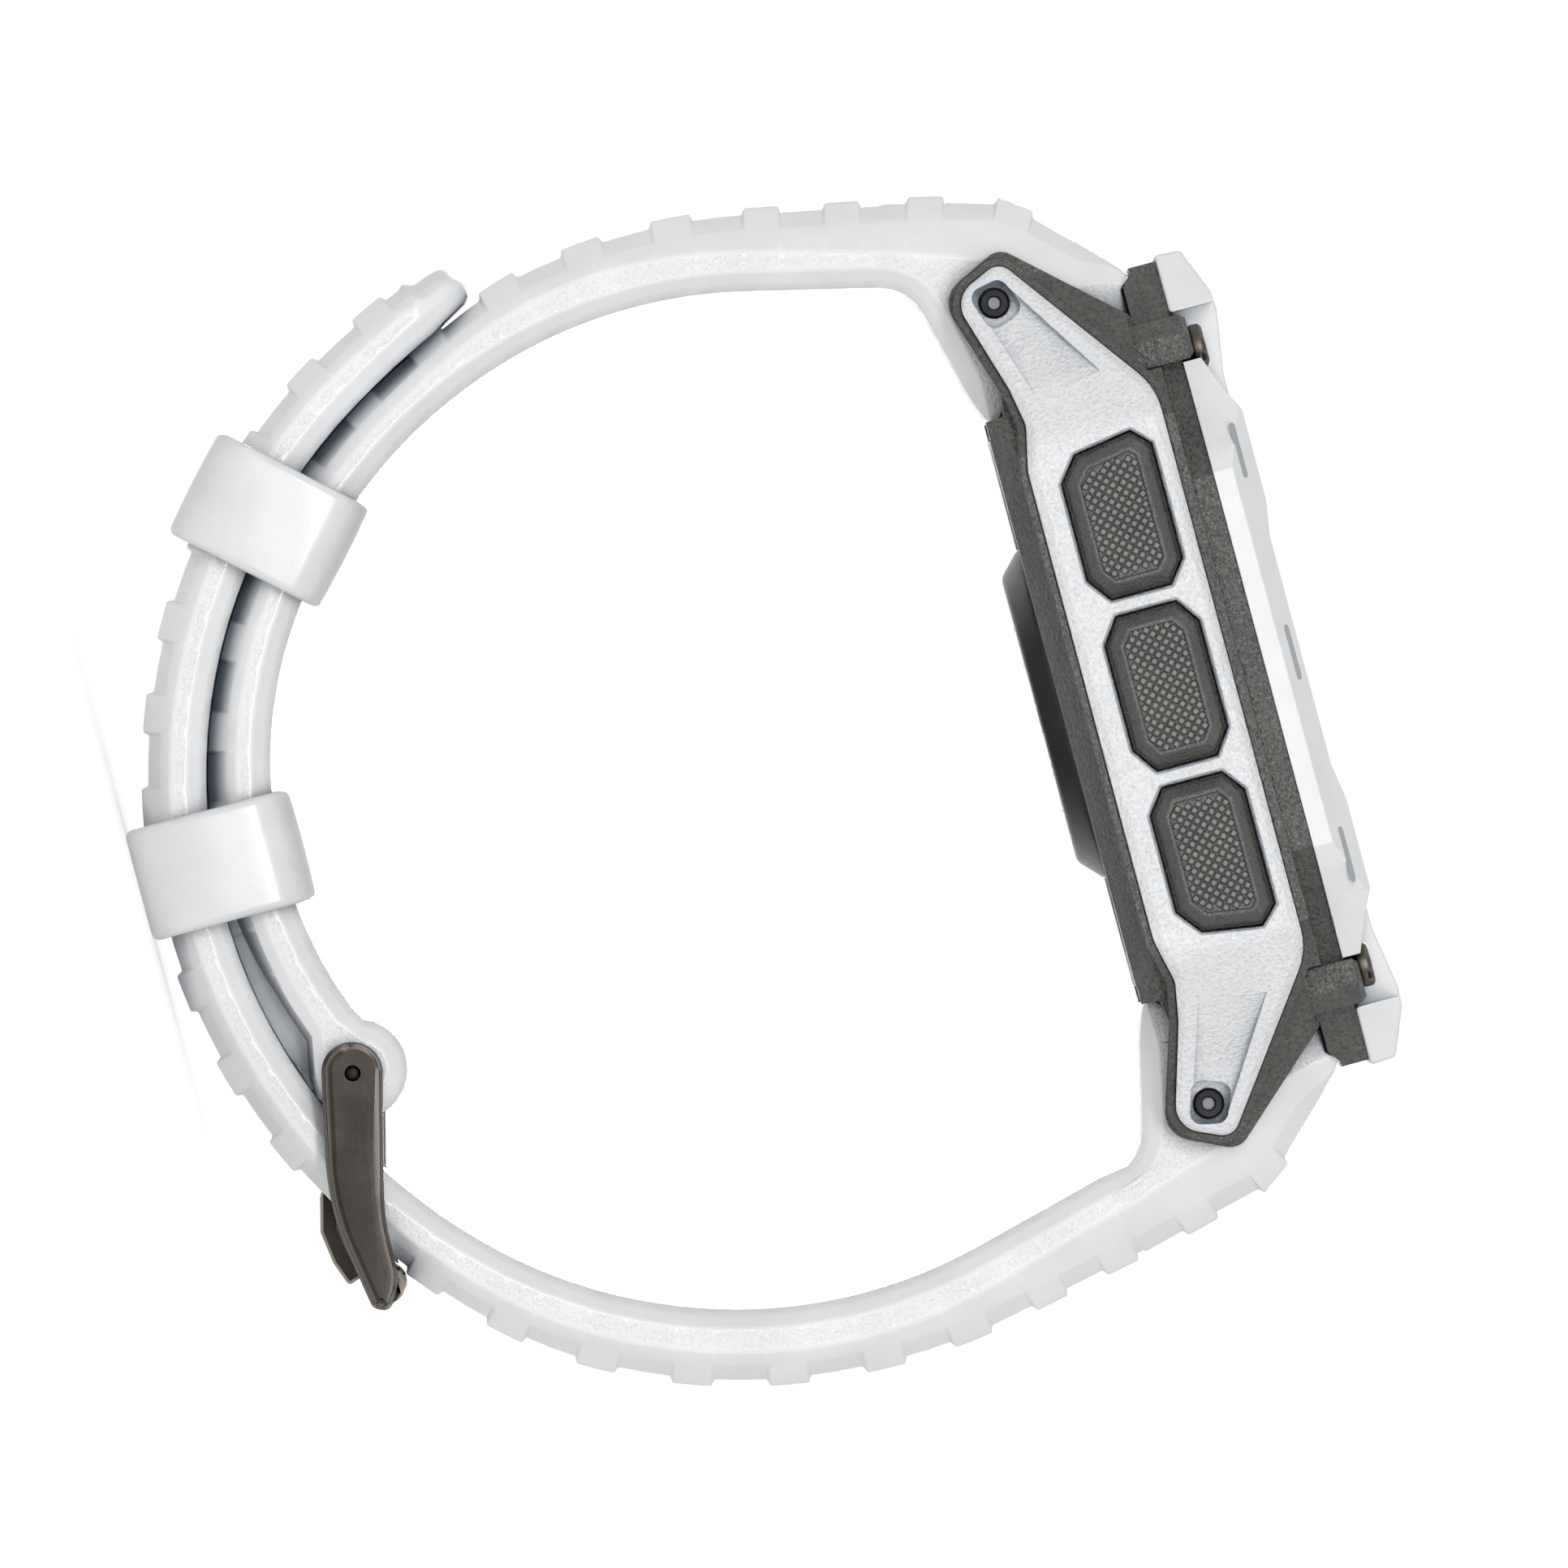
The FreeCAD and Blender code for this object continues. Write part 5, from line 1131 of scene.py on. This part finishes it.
# ---------------------------------------------------------------- buckle
# Investment-cast steel frame and tongue, bead blasted and gunmetal coated, with a
# polished bevel round the outer faces, on a sprung bar.
def polished_bevel(material, colour):
    """Bare polished metal where a bevel turns away from the outer faces."""
    tree = material.node_tree
    shader = tree.nodes["Principled BSDF"]
    lean = facing_sideways(tree)
    flat = add(tree, "ShaderNodeMapRange", {"From Min": 0.9, "From Max": 0.985},
               {"Value": lean})
    steep = add(tree, "ShaderNodeMapRange", {"From Min": 0.3, "From Max": 0.45,
                                             "To Min": 1.0, "To Max": 0.0},
                {"Value": lean})
    coated = add(tree, "ShaderNodeMath", {"operation": "MAXIMUM"},
                 {0: flat.outputs["Result"], 1: steep.outputs["Result"]})
    coating = shader.inputs["Base Color"].links[0].from_socket
    tree.links.new(tones(tree, coated.outputs[0], (0.0, 1.0), colour, coating),
                   shader.inputs["Base Color"])
    return material


# To the eye: nearly black, dull metal outlined by a thin bright bevel.
gunmetal = polished_bevel(metal("bead_blasted_gunmetal", ("#2a2725", "#33302d"), 0.36, 0.07,
                                0.012, 0.05), "#8f8880")
softened("buckle_frame", 0.3, gunmetal, "buckle_metal", corner=40, steps=1, hole=BOSS)
softened("buckle_tongue", 0.25, gunmetal, "buckle_metal", steps=3)
softened("buckle_pin", 0.1, pin_black, "pin_steel")


# ---------------------------------------------------------------- keepers
# Moulded loops of the strap's silicone from polished mould faces, slightly
# crowned on the outside, with soft edges.

# Middle of each keeper in y and z, and its turn in degrees.
KEEPERS = {"keeper_fixed": (4.3, -49.65, 0.0), "keeper_free": (23.5, -41.5, 42.0)}
KEEPER_HALF = 13.0    # half width outside, and depth through the strap
KEEPER_DEEP = 10.2
KEEPER_CORNER = 2.3
KEEPER_HOLE = (11.7, -4.55, 4.2, 1.0)   # half width, wrist side, outside, corner
# Places along the strap, and how far the outside and the opening stand back there.
KEEPER_WALL = ((-3.4, 0.42), (-3.34, 0.2), (-3.18, 0.06), (-2.9, 0.0), (-1.5, -0.05),
               (0.0, -0.07), (1.5, -0.05), (2.9, 0.0), (3.18, 0.06), (3.34, 0.2), (3.4, 0.42))
KEEPER_INSIDE = ((3.4, -0.2), (3.2, 0.0), (-3.2, 0.0), (-3.4, -0.2))
KEEPER_CROWN = 0.5    # the outer sides swell by this much


def divided(outline, count):
    """Outline with its long sides divided evenly."""
    points = []
    for a, b in zip(outline, outline[1:] + outline[:1]):
        parts = count if (b - a).length > 2.0 else 1
        points += [a.lerp(b, i / parts) for i in range(parts)]
    return points


def box_outline(half, low, high, corner):
    """Rounded rectangle from low to high with its long sides divided."""
    return divided(rounded([(half, low, corner), (half, high, corner),
                            (-half, high, corner), (-half, low, corner)], 10), 10)


def keeper(node):
    """Closed loop with a crowned outside, turned into its place on the strap."""
    y, z, turn = KEEPERS[node]
    deep = KEEPER_DEEP / 2
    outside = box_outline(KEEPER_HALF, -deep, deep, KEEPER_CORNER)
    inside = box_outline(*KEEPER_HOLE)
    rings = []
    for along_y, back in KEEPER_WALL:
        ring = []
        for p in inset(outside, back):
            swell = KEEPER_CROWN * max(0.0, 1 - (p.y / deep) ** 2) * p.x / KEEPER_HALF
            ring.append((p.x + swell, along_y, p.y))
        rings.append(ring)
    for along_y, back in KEEPER_INSIDE:
        rings.append([(p.x, along_y, p.y) for p in inset(inside, back)])
    form = stacked(rings, endless=True)
    bmesh.ops.rotate(form, verts=form.verts, matrix=Matrix.Rotation(math.radians(turn), 3, "X"))
    bmesh.ops.translate(form, verts=form.verts, vec=(0, y, z))
    return made(form, node + "_form")


# To the eye: a smoother, slightly greyer white than the strap, with a soft sheen.
RIPPLE = (0.5, 0.006)   # size and depth
smooth_silicone, tree, shader = new_material("polished_silicone", Roughness=0.3, IOR=1.43,
                                             Coat_Weight=0.3, Coat_Roughness=0.2)
tree.links.new(clouded(tree, 3.33, 3.0, (0.35, 0.65), ("#dddede", "#e3e4e4")),
               shader.inputs["Base Color"])
ripple = add(tree, "ShaderNodeBump", {"Distance": RIPPLE[1] * MM},
             {"Height": grain_height(tree, RIPPLE[0])})
tree.links.new(ripple.outputs["Normal"], shader.inputs["Normal"])
for node in KEEPERS:
    finished(keeper(node), smooth_silicone, "keeper_silicone", nodes[node]["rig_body"], node,
             corner=60)


# ---------------------------------------------------------------- studio
# White floor that fades into the white surroundings, soft lamps on both sides and
# above, and a shadow only where the loop stands.
FLOOR_RADIUS = 0.3
SHADOW_HALF = (0.05, 0.02)   # how far the shadow reaches, in metres
SHADOW_Y = 0.005
SHADOW_SHARE = 0.7    # the floor glows this much in the middle of its shadow


def seen_directly(tree):
    """1 for rays that come from the camera, a mirror image or through glass."""
    path = add(tree, "ShaderNodeLightPath")
    seen = path.outputs["Is Camera Ray"]
    for kind in ("Is Transmission Ray", "Is Glossy Ray"):
        seen = add(tree, "ShaderNodeMath", {"operation": "MAXIMUM"},
                   {0: seen, 1: path.outputs[kind]}).outputs[0]
    return seen


floor_mesh = bpy.data.meshes.new("floor")
ring = [(FLOOR_RADIUS * math.cos(math.radians(a)),
         FLOOR_RADIUS * math.sin(math.radians(a)), 0.0) for a in range(0, 360, 5)]
floor_mesh.from_pydata(ring, [], [list(range(len(ring)))])
floor = bpy.data.objects.new("floor", floor_mesh)
bpy.context.scene.collection.objects.link(floor)
floor.location = (0.0, 0.0, cad_box[0][2])
# To the eye: endless matt white, a little darker only in the watch's own shadow.
paper, tree, shader = new_material("white_studio_paper", Roughness=0.9)
shader.inputs["Base Color"].default_value = linear("#fafafa")
spot = add(tree, "ShaderNodeTexCoord")
contact = add(tree, "ShaderNodeMapping", {"Location": (0.0, -SHADOW_Y / SHADOW_HALF[1], 0.0),
                                          "Scale": (1 / SHADOW_HALF[0],
                                                    1 / SHADOW_HALF[1], 1.0)},
              {"Vector": spot.outputs["Object"]})
reach = add(tree, "ShaderNodeVectorMath", {"operation": "LENGTH"}, {0: contact.outputs[0]})
fade = add(tree, "ShaderNodeMapRange", {"From Min": 0.0, "From Max": 1.0,
                                        "To Min": SHADOW_SHARE,
                                        "interpolation_type": "SMOOTHSTEP"},
           {"Value": reach.outputs["Value"]})
glow = add(tree, "ShaderNodeEmission", {"Strength": 1.0})
share = add(tree, "ShaderNodeMath", {"operation": "MULTIPLY"},
            {0: seen_directly(tree), 1: fade.outputs["Result"]})
blend = add(tree, "ShaderNodeMixShader", None,
            {0: share.outputs[0], 1: shader.outputs[0], 2: glow.outputs[0]})
tree.links.new(blend.outputs[0], tree.nodes["Material Output"].inputs["Surface"])
floor_mesh.materials.append(paper)

world = bpy.data.worlds.new("white_surroundings")
bpy.context.scene.world = world
world.use_nodes = True
tree = world.node_tree
ambient = tree.nodes["Background"]
ambient.inputs["Color"].default_value = linear("#f4f7fb")
ambient.inputs["Strength"].default_value = 0.26
bright = add(tree, "ShaderNodeBackground", {"Color": (1.0, 1.0, 1.0, 1.0), "Strength": 1.0})
either = add(tree, "ShaderNodeMixShader", None,
             {0: seen_directly(tree), 1: ambient.outputs[0], 2: bright.outputs[0]})
tree.links.new(either.outputs[0], tree.nodes["World Output"].inputs["Surface"])


STRIP = (0.8, 0.12)   # length and width of the strips beside the watch
SOFTBOX = (0.8, 0.5)  # and of the soft boxes above its two ends
LAMP_AIM = Vector((0.0, 0.0, -0.016))


def lamp(name, place, size, watts):
    """Soft light at a place in metres, aimed at the loop's middle."""
    light = bpy.data.lights.new(name, "AREA")
    light.shape = "RECTANGLE"
    light.size, light.size_y = size
    light.energy = watts
    carrier = bpy.data.objects.new(name, light)
    bpy.context.scene.collection.objects.link(carrier)
    carrier.location = place
    ray = LAMP_AIM - carrier.location
    carrier.rotation_euler = ray.to_track_quat("-Z", "Y").to_euler()


for side, label in ((-1, "a"), (1, "b")):
    lamp("high_strip_" + label, (side * 1.2, 0.0, 0.26), STRIP, 6.9)
    lamp("low_strip_" + label, (side * 1.2, 0.0, -0.03), STRIP, 2.3)
lamp("upper_lamp", (0.0, 0.75, 0.95), SOFTBOX, 2.0)
lamp("lower_lamp", (0.0, -0.75, 0.95), SOFTBOX, 2.0)

# The camera looks from 9 o'clock, rolled so that the display leans back.
DISTANCE = 4.2
VIEW_WIDTH = 94.24 * MM
VIEW_MIDDLE = Vector((0.0, 0.254 * MM, -15.8 * MM))
LEAN = math.radians(15)
FILM = 36.0           # width in millimetres
camera = bpy.data.cameras.new("camera")
camera.sensor_width = FILM
camera.lens = FILM * DISTANCE / VIEW_WIDTH
camera.clip_start = 0.05
camera.clip_end = 20.0
eye = bpy.data.objects.new("camera", camera)
bpy.context.scene.collection.objects.link(eye)
up = Vector((0.0, math.cos(LEAN), math.sin(LEAN)))
right = Vector((0.0, -math.sin(LEAN), math.cos(LEAN)))
back = right.cross(up)
turn = Matrix((right, up, back)).transposed()
eye.matrix_world = Matrix.Translation(VIEW_MIDDLE + back * DISTANCE) @ turn.to_4x4()
bpy.context.scene.camera = eye
bpy.context.scene.view_settings.view_transform = "Standard"
